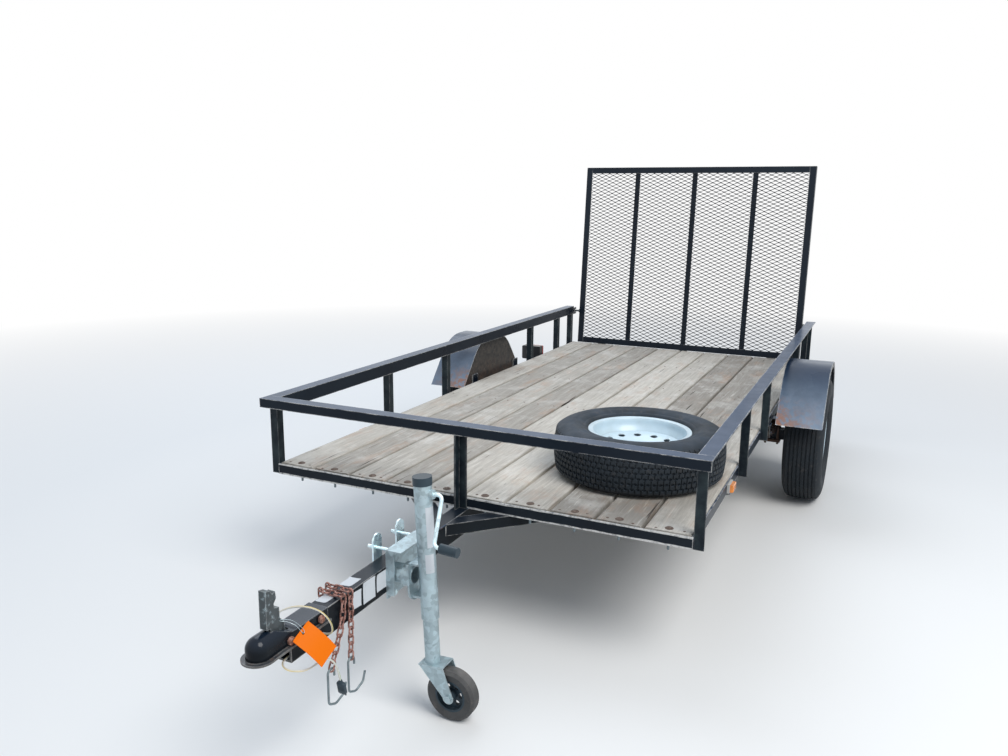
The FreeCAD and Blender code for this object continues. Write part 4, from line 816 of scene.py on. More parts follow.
def make_cord(name, route, node):
    """Four sheathed wires twisted together along the route, as one mesh."""
    points = spline_points(name + "_line", route)
    thin = sizes().wire_radius
    offset = HARNESS_DIAMETER / 2 - thin
    runs = [0.0]
    for a, b in zip(points, points[1:]):
        runs.append(runs[-1] + (b - a).length)
    soup = Soup()
    counts = []
    for k in range(len(WIRES)):
        path = []
        for (point, side, up), run in zip(frames_along(points), runs):
            turn = math.tau * (k / len(WIRES) + run * HARNESS_TWISTS)
            path.append(point + (side * math.cos(turn) + up * math.sin(turn)) * offset)
        soup.add_sweep(path, ring(thin, 7))
        counts.append(len(soup.faces))
    cord = settled(name, soup, WIRES[0], "chassis", [node])
    for coat in WIRES[1:]:
        cord.data.materials.append(finish(coat))
    for number, face in enumerate(cord.data.polygons):
        face.material_index = next(k for k, count in enumerate(counts) if number < count)
    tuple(points[0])


def make_plug():
    """A flat moulded plug with ribs, a neck and four contacts, in line with the lead's end."""
    end, before = bed(*HARNESS_LEAD[-1]), bed(*HARNESS_LEAD[-2])
    along = (end - before).normalized()
    side = Vector((0, 1, 0))
    side = (side - along * side.dot(along)).normalized()
    thick = along.cross(side)

    def level(distance, wide, deep, power=4.0, count=28):
        """A section of the plug: a rectangle with round corners, this far along it."""
        row = []
        for c, s in ring(1.0, count):
            reach = (abs(c) ** power + abs(s) ** power) ** (-1 / power)
            middle = end + along * mm(distance)
            row.append(middle + side * mm(wide * c * reach) + thick * mm(deep * s * reach))
        return row

    steps = [(-9, 3.2, 3.0), (-8.6, 3.9, 3.6), (-1.2, 4.6, 4.2), (0, 9.6, 4.8), (1.2, 11.6, 5.6), (3, 12, 6)]
    for k in range(4):
        at = 8 + k * 3.6
        steps += [(at, 12, 6), (at + 0.5, 11.5, 5.5), (at + 1.7, 11.5, 5.5), (at + 2.2, 12, 6)]
    steps += [(32.6, 12, 6), (33.8, 11.2, 5.2), (34, 9.5, 4.0)]
    soup = Soup()
    soup.add_grid([level(*step) for step in steps], closed_across=True, cap_ends=True)
    contact = [(2.4, 0), (2.4, 1.6), (1.9, 2.2), (1.9, 6.6), (1.5, 7.2), (0.01, 7.3)]
    for k in range(4):
        soup.add_turned(contact, end + along * mm(33.5) + side * mm((k - 1.5) * 5.4), along, 12)
    return settled("Harness_plug", soup, "grip", "chassis", ["harness_plug"], sharp=40)


def make_wiring():
    plug = make_plug()
    make_cord("Harness_loop", HARNESS_LOOP, "harness_loop_cord")
    make_cord("Harness_lead", HARNESS_LEAD, "harness_lead_cord")


# Deck boards

SCREW_ROWS = [-26, -668, -1268, -1868, -2468, -3020]
BOARD_STATIONS = 46


def board_places():
    """Each board's right edge and width."""
    low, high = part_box("deck_planks")
    s = sizes()
    width = (high.y - low.y - (s.board_count - 1) * s.board_gap) / s.board_count
    return [(low.y + i * (width + s.board_gap), width) for i in range(s.board_count)]


def make_boards():
    """Cupped boards with worn edges and uneven ends."""
    low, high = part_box("deck_planks")
    sag = sizes().board_cup
    soup = Soup()
    face_boards = []
    for i, (start, width) in enumerate(board_places()):
        top = high.z - spread(i * 3 + 1, 0.0, mm(0.7))
        front, back = high.x - spread(i * 5 + 2, 0.0, mm(2.5)), low.x + spread(i * 7 + 3, 0.0, mm(2.5))
        rows = []
        for k in range(BOARD_STATIONS + 1):
            x = front + (back - front) * k / BOARD_STATIONS
            wander = mm(0.7) * noise.noise(Vector((x * 1.3, i * 7.7, 0.0)))
            worn, worn_right = (
                mm(5.2) + mm(2.4) * noise.noise(Vector((x * 6.0, i * 3.1, place))) for place in (5.0, 9.0)
            )
            left, right = start + mm(0.2) + wander, start + width - mm(0.2) + wander
            row = [(left + mm(1), low.z), (right - mm(1), low.z)]
            row += [(right, low.z + mm(1)), (right, top - worn_right)]
            for step in range(1, 4):
                a = math.radians(30 * step)
                row.append((right - worn_right * (1 - math.cos(a)), top - worn_right * (1 - math.sin(a))))
            for step in range(5):
                u = 0.8 - 0.4 * step
                y = (left + right) / 2 + u * (right - left) / 2
                row.append((y, top - sag * (1 - u * u)))
            for step in range(3, 0, -1):
                a = math.radians(30 * step)
                row.append((left + worn * (1 - math.cos(a)), top - worn * (1 - math.sin(a))))
            row += [(left, top - worn), (left, low.z + mm(1))]
            rows.append([Vector((x, y, z)) for y, z in row])
        soup.add_grid(rows, closed_across=True, cap_ends=True)
        face_boards += [i] * (len(soup.faces) - len(face_boards))
    boards = settled("Deck_boards", soup, "boards", "chassis", ["deck_planks"], sharp=45)
    shifts = boards.data.attributes.new("board_shift", "FLOAT", "FACE")
    tones = boards.data.attributes.new("board_tone", "FLOAT", "FACE")
    for face, board in enumerate(face_boards):
        shifts.data[face].value = board * 13.37 + 2.0
        tones.data[face].value = spread(board * 11 + 5, 0.0, 1.0)
    make_screws(high.z)


def make_screws(top):
    """Countersunk deck screws, two to a board over each crossmember."""
    soup = Soup()
    outline = [(0.01, -0.5), (1.0, -0.5), (1.4, 0.3), (3.3, 0.5), (4.3, 0.1), (4.8, -0.8)]
    for row, x in enumerate(SCREW_ROWS):
        for board, (start, width) in enumerate(board_places()):
            for end, share in enumerate((0.22, 0.78)):
                seed = row * 71 + board * 7 + end
                place = Vector((bed(x + spread(seed, -7, 7), 0, 0).x, start + width * share, top - mm(0.55)))
                place.y += mm(spread(seed + 0.5, -6, 6))
                soup.add_turned(outline, place, (0, 0, 1), 12)
    settled("Deck_screws", soup, "screw", "chassis", sharp=50)


def make_sill_bolts():
    """Rusted domed heads on the boards' front ends, with their nuts and ends below the front sill."""
    head = [(13.0, -1.0), (13.4, 0.2), (12.2, 1.8), (9.0, 3.4), (4.5, 4.3), (0.01, 4.5)]
    nut = [(0.01, 0.2), (10.0, 0.2), (10.4, -1.6), (7.2, -1.8), (7.6, -2.6)]
    nut += [(7.6, -8.6), (6.8, -9.4), (4.2, -9.5)]
    end = [(4.0, -9.0), (4.0, -25.0), (3.4, -26.2), (0.01, -26.4)]
    heads, ends = Soup(), Soup()
    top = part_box("deck_planks")[1].z
    for board, (start, width) in enumerate(board_places()):
        place = Vector((bed(-34 + spread(board + 60, -3, 3), 0, 0).x, start + width / 2, 0.0))
        place.y += mm(spread(board + 80, -8, 8))
        place.z = top - mm(1.2)
        heads.add_turned(head, place, (0, 0, 1), 20)
        place.z = BED_UNDER
        ends.add_turned(nut, place, (0, 0, 1), 6, board * 0.7)
        ends.add_turned(end, place, (0, 0, 1), 12)
    settled("Deck_bolt_heads", heads, "screw", "chassis", sharp=50)
    settled("Deck_bolt_ends", ends, "hook", "chassis", sharp=35)


# Gate

GATE_LEAN = math.radians(4.7)
MESH_LOW, MESH_HIGH, MESH_HALF = 23.3, 1191.7, 724.7
MESH_BOND, MESH_TILT, MESH_THICK, MESH_PLACE = 3.4, math.radians(27), 1.9, 13.5


def on_gate(x, y, height):
    """A point of the closed gate: x to the front of its pivot, height up its plane, in millimetres."""
    pivot = next(j for j in frame["joints"] if j["name"] == "gate_hinge")["pos_m"]
    forward = mm(x) * math.cos(GATE_LEAN) - mm(height) * math.sin(GATE_LEAN)
    up = mm(x) * math.sin(GATE_LEAN) + mm(height) * math.cos(GATE_LEAN)
    return Vector((pivot[0] + forward, mm(y), pivot[2] + up))


def make_gate_mesh():
    """Expanded metal: each strand runs across in a zigzag and is bonded to the next at every turn."""
    s = sizes()
    rows = round((MESH_HIGH - MESH_LOW) / (s.mesh_high * 500))
    spacing = (MESH_HIGH - MESH_LOW) / rows
    halves = round(2 * MESH_HALF / (s.mesh_wide * 500))
    step = 2 * MESH_HALF / halves
    strand = s.mesh_strand * 1000
    reach = spacing / 2 - strand * 0.46
    sine, cosine = math.sin(MESH_TILT), math.cos(MESH_TILT)
    across = (on_gate(sine, 0, cosine) - on_gate(0, 0, 0)).normalized()
    out = (on_gate(cosine, 0, -sine) - on_gate(0, 0, 0)).normalized()
    wide, deep = strand / 2, MESH_THICK / 2
    corners = [(-wide, -deep), (wide, -deep), (wide, deep), (-wide, deep)]
    soup = Soup()
    for i in range(rows):
        middle = MESH_LOW + spacing * (i + 0.5)
        line = []
        for j in range(halves + 1):
            level = middle + (reach if (i + j) % 2 == 0 else -reach)
            for side in (-MESH_BOND, MESH_BOND):
                y = -MESH_HALF + step * j + side
                if -MESH_HALF <= y <= MESH_HALF:
                    line.append((y, level))
        grid = []
        for y, level in line:
            centre = on_gate(MESH_PLACE, y, level)
            grid.append([centre + across * mm(a) + out * mm(b) for a, b in corners])
        soup.add_grid(grid, closed_across=True, cap_ends=True)
    settled("Gate_mesh", soup, "mesh", "gate", ["gate_mesh"], sharp=30)


def make_latch_springs():
    """A coil spring on each latch pin."""
    soup = Soup()
    low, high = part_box("gate_latch_pins")
    x, z = (low.x + high.x) / 2, (low.z + high.z) / 2
    coils, steps, radius, start, length = 6, 12, mm(8.5), mm(694.5), mm(32)
    for side in (-1, 1):
        path = []
        for k in range(coils * steps + 1):
            a = math.tau * k / steps
            y = start + length * k / (coils * steps)
            path.append(Vector((x + radius * math.cos(a), side * y, z + radius * math.sin(a))))
        soup.add_sweep(path, ring(mm(1.2), 6))
    settled("Latch_springs", soup, "zinc_worn", "gate")


# Tyres

TYRE_RADIUS, TYRE_HALF, TREAD_HALF, SHOULDER = 303.0, 89.0, 68.0, 296.0
WIDEST, BEAD, FLANGE, HALF_BEAD = 242.25, 165.7, 183.0, 65.8
ROAD_GROOVES, SPARE_GROOVES, GROOVE_WIDTH = (-53, -36, -18, 0, 18, 36, 53), (-54, -35, -16, 2, 20, 39), 4.6
SPARE_PLACE = bed(-499, 450, 131.9)
AXLE_STATION, WHEEL_SIDE, AXLE_HEIGHT = -1893, 910, -125
STUD_CIRCLE, STUDS = 57.15, 5


def road_wheels():
    """Each road wheel's side, name and middle."""
    for side, word in ((1, "left"), (-1, "right")):
        yield side, word, bed(AXLE_STATION, WHEEL_SIDE * side, AXLE_HEIGHT)


def side_arc(end, count):
    """Points of the side wall's arc from its widest place to an end."""
    along, across = end[0] - WIDEST, end[1] - TYRE_HALF
    radius = (along * along + across * across) / (-2 * across)
    whole = math.asin(along / radius)
    turns = [whole * k / count for k in range(1, count + 1)]
    return [(WIDEST + radius * math.sin(a), TYRE_HALF - radius + radius * math.cos(a)) for a in turns]


def crown(y):
    """The tread's radius at a place across it."""
    bow = (TREAD_HALF ** 2 + (TYRE_RADIUS - SHOULDER) ** 2) / (2 * (TYRE_RADIUS - SHOULDER))
    return TYRE_RADIUS - bow + math.sqrt(bow * bow - y * y)


def tread_columns(grooves):
    """Places across the tread as (y, in a groove or not), with steep groove walls."""
    half = GROOVE_WIDTH / 2
    columns = [(-TREAD_HALF, 0)]
    for middle in grooves:
        for offset, level in ((-half - 0.7, 0), (-half + 0.5, 1), (half - 0.5, 1), (half + 0.7, 0)):
            columns.append((middle + offset, level))
    return columns + [(TREAD_HALF, 0)]


# Places along one pitch of the tread, each with the kind of cross cut there, and each rib's kind
CUT_STEPS = [(0.0, 0), (0.03, 1), (0.17, 1), (0.20, 0), (0.50, 0), (0.53, 2), (0.67, 2), (0.70, 0)]
CUT_ROWS = (1, 2, 2, 1, 2, 1, 1, 2)


def make_tyre(name, centre, axis, body, node, coat, grooves, blocks, pitches, zigzag):
    """Side walls with raised rings, and a tread of grooved ribs with cross cuts and a zigzag."""
    deep = sizes().tread_depth * 1000
    axis = Vector(axis)
    side = axis.orthogonal().normalized()
    other = axis.cross(side)
    columns = tread_columns(grooves)
    outer = side_arc((SHOULDER, TREAD_HALF), 7)
    inner = side_arc((FLANGE + 4, HALF_BEAD + 7), 12)
    for place, raised in ((1, -0.9), (2, -0.9), (5, 0.7), (8, -1.0), (9, 1.1), (10, 1.1)):
        inner[place] = (inner[place][0], inner[place][1] + raised)
    rows = []
    for pitch in range(pitches):
        for share, mark in CUT_STEPS:
            turn = math.tau * (pitch + share) / pitches
            out = side * math.cos(turn) + other * math.sin(turn)
            profile = [(BEAD, -HALF_BEAD), (FLANGE + 1, -HALF_BEAD)]
            profile += [(r, -y) for r, y in reversed(inner)] + [(WIDEST, -TYRE_HALF)]
            sway = zigzag if share < 0.35 else -zigzag
            profile += [(r, -y) for r, y in outer[:-1]]
            for k, (y, level) in enumerate(columns):
                row = sum(1 for g in grooves if y > g)
                depth = max(level, blocks if mark == CUT_ROWS[row] else 0.0)
                place = y + (sway * (-1) ** row if abs(y) < TREAD_HALF else 0.0)
                profile.append((crown(place) - deep * depth, place))
            profile += [(r, y) for r, y in reversed(outer[:-1])]
            profile += [(WIDEST, TYRE_HALF)] + inner
            profile += [(FLANGE + 1, HALF_BEAD), (BEAD, HALF_BEAD)]
            rows.append([centre + out * mm(r) + axis * mm(y) for r, y in profile])
    soup = Soup()
    soup.add_grid(rows, closed_along=True, closed_across=True)
    settled(name, soup, coat, body, [node], sharp=30)


def make_tyres():
    pitches = sizes().tread_pitches
    for _, word, centre in road_wheels():
        make_tyre(
            "Road_tyre_" + word, centre, (0, 1, 0), "wheel_" + word, "road_tyre_" + word, "road_tyre",
            ROAD_GROOVES, 0.12, pitches, 0.7,
        )
    make_tyre(
        "Spare_tyre", SPARE_PLACE, (0, 0, 1), "chassis", "spare_tyre", "spare_tyre",
        SPARE_GROOVES, 0.85, pitches + 20, 2.6,
    )


# Each half of a rim's section as (radius, height from the wheel's middle plane)
RIM_INSIDE = [
    (162, -69), (162, -43), (150, -31), (144, -24), (144, 16), (146.2, 20), (149.5, 26), (153.5, 32.5),
    (157.5, 39), (160.4, 46), (161.8, 54), (163, 62), (165.5, 66.4), (170, 67.9), (175, 69.0),
]
RIM_OUTSIDE = [
    (179, 69.5), (181.8, 69.0), (183, 67.2), (183, 65.9), (168, 65.8), (165.5, 63), (165.5, 44), (161, 36),
    (154, 26), (148, 18), (148, -28), (165.5, -40), (165.5, -65.8), (183, -65.9), (183, -67.6), (181, -69.5),
]
# The pressed disc's outer face: a flat seat, then a dish that rises to the barrel
RIM_DISC = [
    (0, 4), (68, 4), (76, 4.7), (88, 7.4), (101, 10.9), (118, 16.0), (135, 21.0), (142, 22.4), (147, 22.6),
]
DISC_WALL = 3.4
SPARE_TURN = math.radians(3.8)


def disc_height(r):
    """The height of the disc's outer face at a radius."""
    for (r0, z0), (r1, z1) in zip(RIM_DISC, RIM_DISC[1:]):
        if r <= r1:
            return z0 + (z1 - z0) * (r - r0) / (r1 - r0)
    return RIM_DISC[-1][1]


def pierced_band(soup, place, number, turned, inner, outer, hole, points=8):
    """A band of the disc with holes. Each sector's points run in rings from its edge to its oval hole."""
    middle, half, ring_half = (inner + outer) / 2, math.pi / number, (outer - inner) / 2
    corners = [(-1, -1), (1, -1), (1, 1), (-1, 1)]
    border = []
    for (u0, v0), (u1, v1) in zip(corners, corners[1:] + corners[:1]):
        border += [(u0 + (u1 - u0) * k / points, v0 + (v1 - v0) * k / points) for k in range(points)]
    circle, wide, deep = hole
    for sector in range(number):
        base = turned + math.tau * sector / number

        def row(share, grow, drop):
            line = []
            for u, v in border:
                phi = math.atan2(v, u)
                r0, a0 = middle + v * ring_half, base + u * half
                r1 = circle + (deep + grow) * math.sin(phi)
                a1 = base + (wide + grow) * math.cos(phi) / circle
                r, a = r0 + (r1 - r0) * share, a0 + (a1 - a0) * share
                line.append(place(r, a, disc_height(r) - drop))
            return line

        rows = [row(share, 1.4, 0.0) for share in (0, 0.3, 0.6, 0.85, 1)]
        rows += [row(1, 0.5, 0.3), row(1, 0.0, 1.3), row(1, 0.0, DISC_WALL)]
        rows += [row(share, 0.0, DISC_WALL) for share in (0.85, 0.5, 0)]
        soup.add_grid(rows, closed_across=True)


def make_rim(name, centre, axis, turned, body, node, coat):
    """A pressed wheel: rolled barrel, dished disc with oval vents and stud holes, and the valve's stem."""
    axis = Vector(axis)
    side = axis.orthogonal().normalized()
    other = axis.cross(side)

    def place(r, a, height):
        return centre + (side * math.cos(a) + other * math.sin(a)) * mm(r) + axis * mm(height)

    def strip(radii, steps):
        """A plain band of the disc, its outer face and its inner one."""
        soup.add_turned([(r, disc_height(r)) for r in radii], centre, axis, steps, turned)
        under = [(r, disc_height(r) - DISC_WALL) for r in reversed(radii)]
        soup.add_turned(under, centre, axis, steps, turned)

    soup = Soup()
    soup.add_turned(RIM_INSIDE + RIM_OUTSIDE, centre, axis, 96, turned, closed=True)
    bore = [(34.8, 0.6), (34.0, 1.4), (34.0, 3.0), (34.6, 3.8), (35.4, 4.0)]
    soup.add_turned(bore, centre, axis, 80, turned)
    strip([35.4, 42], 80)
    pierced_band(soup, place, STUDS, turned, 42, 72, (STUD_CIRCLE, 7.4, 7.4), 16)
    strip([72, 76, 82, 88, 95, 101], 96)
    pierced_band(soup, place, 12, turned, 101, 135, (118, 13.2, 9.6))
    strip([135, 139, 142, 147], 96)
    stem = [(4.6, -16), (4.4, -6), (2.6, -4), (2.6, 3), (3.4, 4), (3.4, 25), (3.0, 26), (0.01, 26)]
    inward = (centre - place(150, turned + 0.4, 0)).normalized()
    soup.add_turned(stem, place(152, turned + 0.4, 22), axis * 0.8 + inward * 0.6, 12)
    settled(name, soup, coat, body, [node], sharp=32, merge=True)


def make_rims():
    for side, word, centre in road_wheels():
        make_rim("Road_rim_" + word, centre, (0, side, 0), 0.0, "wheel_" + word, "road_rim_" + word, "wheel")
    make_rim("Spare_rim", SPARE_PLACE, (0, 0, 1), SPARE_TURN, "chassis", "spare_rim", "spare_wheel")


def make_lug_nuts():
    """Hexagonal nuts over the wheel studs."""
    outline = [(12.4, 0), (12.4, 1.2), (11.9, 1.4), (11.9, 14.2), (10.6, 15.6), (7.0, 16.0), (6.6, 18.0)]
    outline += [(6.2, 21.2), (0.01, 21.6)]
    for side, word, _ in road_wheels():
        soup = Soup()
        for x, z in ring(STUD_CIRCLE, STUDS):
            seat = bed(AXLE_STATION + x, side * (WHEEL_SIDE + 3.7), AXLE_HEIGHT + z)
            soup.add_turned(outline, seat, (0, side, 0), 6)
        settled("Wheel_nuts_" + word, soup, "zinc_worn", "wheel_" + word, sharp=25)


# Safety chains

CHAIN_SIDE, CHAIN_PITCH = 35.2, 21.2
CHAIN_TOP, CHAIN_CREST = 9.8, 13.1
CHAIN_FAR, CHAIN_OVER, CHAIN_NEAR = 2, 3, 9
LINK_STRAIGHT, LINK_BEND = 7.0, 7.0
# Each chain's station, and how much its hanging links lean forward: per link and at most, in degrees
CHAIN_HANG = [(670.0, 0.5, 3.0), (700.0, 6.0, 27.0)]


def chain_steps(station, turn, most):
    """Each link's start and heading: up the far side of the tongue, over it and down the near side."""
    steps = []
    for i in range(CHAIN_FAR):
        start = Vector((station, -CHAIN_SIDE, CHAIN_CREST - (CHAIN_FAR - i) * CHAIN_PITCH))
        steps.append((start, Vector((0, 0, 1))))
    for i in range(CHAIN_OVER):
        steps.append((Vector((station, (i - 1.5) * CHAIN_PITCH, CHAIN_TOP)), Vector((0, 1, 0))))
    here = Vector((station, CHAIN_SIDE, CHAIN_CREST))
    for i in range(CHAIN_NEAR):
        a = math.radians(min(i * turn, most))
        along = Vector((math.sin(a), 0, -math.cos(a)))
        steps.append((here, along))
        here = here + along * CHAIN_PITCH
    return steps


def make_chains():
    """Round-wire links, flat and on edge by turns."""
    soup = Soup()
    stadium = []
    for end, first in ((1, -90), (-1, 90)):
        for k in range(10):
            a = math.radians(first + 20 * k)
            stadium.append((end * LINK_STRAIGHT + LINK_BEND * math.cos(a), LINK_BEND * math.sin(a)))
    section = ring(sizes().chain_wire / 2, 8)
    for row in CHAIN_HANG:
        for i, (start, along) in enumerate(chain_steps(*row)):
            flat = (i - CHAIN_FAR) % 2 == 0
            across = Vector((1, 0, 0)) if flat else Vector((0, 1, 0))
            if not flat and abs(along.y) > 0.5:
                across = Vector((0, 0, 1))
            if flat and i >= CHAIN_FAR + CHAIN_OVER:
                across = Vector((-along.z, 0, along.x))
            centre = start + along * (CHAIN_PITCH / 2)
            path = [bed(*(centre + along * a + across * b)) for a, b in stadium]
            weld = [1.0 + (0.16 if k in (4, 5) else 0.0) for k in range(len(path))]
            soup.add_sweep(path, lambda k: [(a * weld[k], b * weld[k]) for a, b in section], closed=True)
    settled("Safety_chain_links", soup, "chain", "chassis", ["safety_chains"])


# Labels and the tag

def border(rows):
    """The four sides of a grid of points, one after another."""
    return [row[0] for row in rows], rows[-1], [row[-1] for row in reversed(rows)], list(reversed(rows[0]))


def patch(soup, corner, along, across, thick, lift, seed, cells=8):
    """A blank label with slightly lifted corners: corner and two side vectors in metres."""
    up = along.cross(across).normalized()
    top, bottom = [], []
    for i in range(cells + 1):
        row_top, row_bottom = [], []
        for j in range(cells + 1):
            u, v = i / cells, j / cells
            near = max(0.0, abs(u - 0.5) + abs(v - 0.5) - 0.72) / 0.28
            rise = lift * near ** 2 * spread(seed + (u > 0.5) * 2 + (v > 0.5), 0.1, 1.0)
            base = corner + along * u + across * v + up * rise
            row_top.append(base + up * thick)
            row_bottom.append(base)
        top.append(row_top)
        bottom.append(row_bottom)
    soup.add_grid(top)
    soup.add_grid([list(reversed(row)) for row in bottom])
    for high_row, low_row in zip(border(top), border(bottom)):
        soup.add_grid([low_row, high_row])


# Each label's corner and two sides
TONGUE_LABELS = [
    ((696, -25, 0.2), (43, 0, 0), (-3, 32, 0)),
    ((588, -25, 0.2), (50, 0, 0), (-4, 34, 0)),
    ((609, 25.6, -12), (40, 0, 3), (2, 0, -47)),
    ((545, 25.6, -3), (56, 0, 1), (0, 0, -61)),
    ((491, 25.6, -7), (46, 0, 1), (1, 0, -51)),
]
LABEL_THICKNESS, LABEL_LIFT = 0.25, 1.6
# The jack tube's foot and lean, the radii of a label's faces round it, each label's heights and angles
JACK_FOOT, JACK_LEAN = bed(457, 140, -21), math.radians(3.1)
JACK_LABEL_OUT, JACK_LABEL_IN = 25.35, 25.05
JACK_LABELS = [(94, 208, 39, 106), (21, 75, 21, 79)]


def make_labels():
    """Blank labels: flat ones on the tongue and curved ones on the jack's tube."""
    tongue, jack = Soup(), Soup()
    origin = bed(0, 0, 0)
    for k, (place, along, across) in enumerate(TONGUE_LABELS):
        corner, first, second = bed(*place), bed(*along) - origin, bed(*across) - origin
        if first.cross(second).dot(Vector((0, 1, 1))) < 0:
            corner, second = corner + second, -second
        patch(tongue, corner, first, second, mm(LABEL_THICKNESS), mm(LABEL_LIFT), k * 9.0)
    axis = Vector((0, -math.sin(JACK_LEAN), math.cos(JACK_LEAN)))
    for low, high, first, last in JACK_LABELS:
        rows_out, rows_in = [], []
        for i in range(9):
            level = JACK_FOOT + axis * mm(low + (high - low) * i / 8)
            ways = [math.radians(first + (last - first) * j / 12) for j in range(13)]
            ways = [Vector((math.cos(a), math.sin(a), 0)) for a in ways]
            rows_out.append([level + way * mm(JACK_LABEL_OUT) for way in ways])
            rows_in.append([level + way * mm(JACK_LABEL_IN) for way in ways])
        jack.add_grid(rows_out)
        jack.add_grid([rows_out[0], rows_in[0]])
        jack.add_grid([rows_in[-1], rows_out[-1]])
        jack.add_grid([[row[0] for row in rows_in], [row[0] for row in rows_out]])
        jack.add_grid([[row[-1] for row in rows_out], [row[-1] for row in rows_in]])
    settled("Tongue_labels", tongue, "label", "chassis", sharp=40, merge=True)
    settled("Jack_labels", jack, "label", "jack", sharp=40, merge=True)


def spline_closed(corners, parts=6):
    """A smooth closed line through the corners."""
    count = len(corners)
    points = []
    for i in range(count):
        p0, p1, p2, p3 = (bed(*corners[(i + k) % count]) for k in (-1, 0, 1, 2))
        for k in range(parts):
            t = k / parts
            points.append(0.5 * (
                2 * p1 + (p2 - p0) * t + (2 * p0 - 5 * p1 + 4 * p2 - p3) * t * t
                + (3 * p1 - p0 - 3 * p2 + p3) * t * t * t
            ))
    return points


TAG_HOLE, TAG_HOLE_RADIUS = (877.4, 50.1, -0.7), 3.2
TAG_LENGTH, TAG_HALF_WIDTH, TAG_MARGIN, TAG_HALF_THICK = 85.0, 30.5, 9.0, 0.35
TAG_LOOP = [
    TAG_HOLE, (881, 46, 7), (888, 36, 22), (900, 21, 33), (909, 11, 36), (905, 11, 38), (887, 27, 31),
    (876, 43, 14), (874, 51, 4),
]


def make_tag():
    """A blank card tag with its hole in the middle of a short side, bent a little, on a loop of wire."""
    hole = bed(*TAG_HOLE)
    long_way = Vector((-0.333, 0.584, -0.740)).normalized()
    short_way = Vector((0.900, -0.038, -0.435))
    short_way = (short_way - long_way * short_way.dot(long_way)).normalized()
    face_out = long_way.cross(short_way).normalized()
    if face_out.x < 0:
        face_out = -face_out

    def outline(a):
        """How far the card's edge is from the hole, this way."""
        c, s = math.cos(a), math.sin(a)
        reach = TAG_HALF_WIDTH / max(abs(s), 1e-6)
        return min(reach, TAG_LENGTH / c if c > 0 else -TAG_MARGIN / min(c, -1e-6))

    soup = Soup()
    rings, count = 9, 64
    for side in (1, -1):
        rows = []
        # From the hole's edge to the card's edge
        for i in range(rings + 1):
            row = []
            for k in range(count):
                a = math.tau * (k + 0.5) / count
                r = TAG_HOLE_RADIUS + (outline(a) - TAG_HOLE_RADIUS) * i / rings
                u, v = r * math.cos(a), r * math.sin(a)
                run = u / TAG_LENGTH
                bow = 5.0 * math.sin(min(1.0, max(0.0, run)) * math.pi) + 2.0 * (v / 30.0) ** 2 * run
                out = face_out * mm(bow + side * TAG_HALF_THICK)
                row.append(hole + long_way * mm(u) + short_way * mm(v) + out)
            rows.append(row)
        soup.add_grid(rows if side > 0 else [list(reversed(row)) for row in rows], closed_across=True)
        if side > 0:
            outer_top, inner_top = rows[-1], rows[0]
        else:
            soup.add_grid([rows[-1], outer_top], closed_across=True)
            soup.add_grid([inner_top, rows[0]], closed_across=True)
    settled("Coupler_tag", soup, "tag", "chassis", sharp=40, merge=True)
    tie = Soup()
    tie.add_sweep(spline_closed(TAG_LOOP), ring(mm(0.6), 6), closed=True)
    settled("Tag_wire", tie, "zinc", "chassis")


# Welds

WELD_STEP = 0.0014


def weld_lines():
    """The start and end of each bead: at the posts, the crossmembers, the tongue and the front sill."""
    lines = []
    for x in (-5, -745, -1272, -2330, -2770, -3016):
        for y in (-762.6, 762.6):
            lines += [((x + edge, y, 2), (x + edge, y, 37)) for edge in (0, -32)]
    for x in (-650, -1250, -1850, -2450):
        lines += [((x, y, -32), (x, y, 3)) for y in (-724.5, 724.5)]
    for side in (-1, 1):
        lines.append(((150, side * 26, -37), (150, side * 26, -1)))
        lines.append(((152, side * 27, -0.5), (196, side * 27, -0.5)))
    return lines + [((0.6, -25, -0.4), (0.6, 25, -0.4))]


def make_welds():
    """Beads with ripples and thin ends."""
    soup = Soup()
    bead = sizes().weld_radius
    for number, (start, end) in enumerate(weld_lines()):
        a, b = bed(*start), bed(*end)
        steps = max(4, round((b - a).length / WELD_STEP))
        path = [a.lerp(b, k / steps) for k in range(steps + 1)]

        def section(k, steps=steps, number=number):
            ripple = 1.0 + 0.13 * math.sin(k * math.pi * 0.75) + 0.10 * spread(number * 31 + k // 3, -1, 1)
            ends = min(1.0, 0.35 + 0.3 * min(k, steps - k))
            return ring(bead * ripple * ends, 8)

        soup.add_sweep(path, section)
    settled("Weld_beads", soup, "weld", "chassis")


# Finishes for the nodes that stay as they are

CAD_COATS = {
    "sill": ["bed_end_sills"],
    "tongue": ["tongue_tube", "tongue_braces"],
    "post": ["rail_posts"],
    "frame": [
        "bed_side_rails", "bed_crossmembers", "top_rail_front", "top_rails_side", "side_brackets",
        "gate_hinge_lugs", "gate_latch_keepers",
    ],
    "gate": ["gate_stiles", "gate_end_bars", "gate_uprights", "gate_hinge_barrels"],
    "fender": ["fenders"],
    "coupler": ["coupler_body"],
    "axle": ["axle_beam", "spring_hangers"],
    "spring": ["leaf_springs", "axle_u_bolts"],
    "hub": ["road_hub_left", "road_hub_right"],
    "zinc_worn": ["coupler_latch", "gate_latch_pins"],
    "bolt": ["coupler_bolts"],
    "hook": ["chain_hooks"],
    "zinc": ["jack_bracket", "jack_tube", "jack_leg", "jack_swivel_plate", "jack_fork"],
    "zinc_bright": ["jack_clamp_straps", "jack_clamp_bolts", "jack_crank"],
    "lamp": ["tail_lamps"],
    "marker": ["side_markers"],
    "grip": ["jack_cap", "jack_crank_grip", "jack_wheel_hub"],
    "caster_tyre": ["jack_wheel_tyre"],
    "lens_red": ["tail_lamp_lenses"],
    "lens_amber": ["side_marker_lenses"],
}
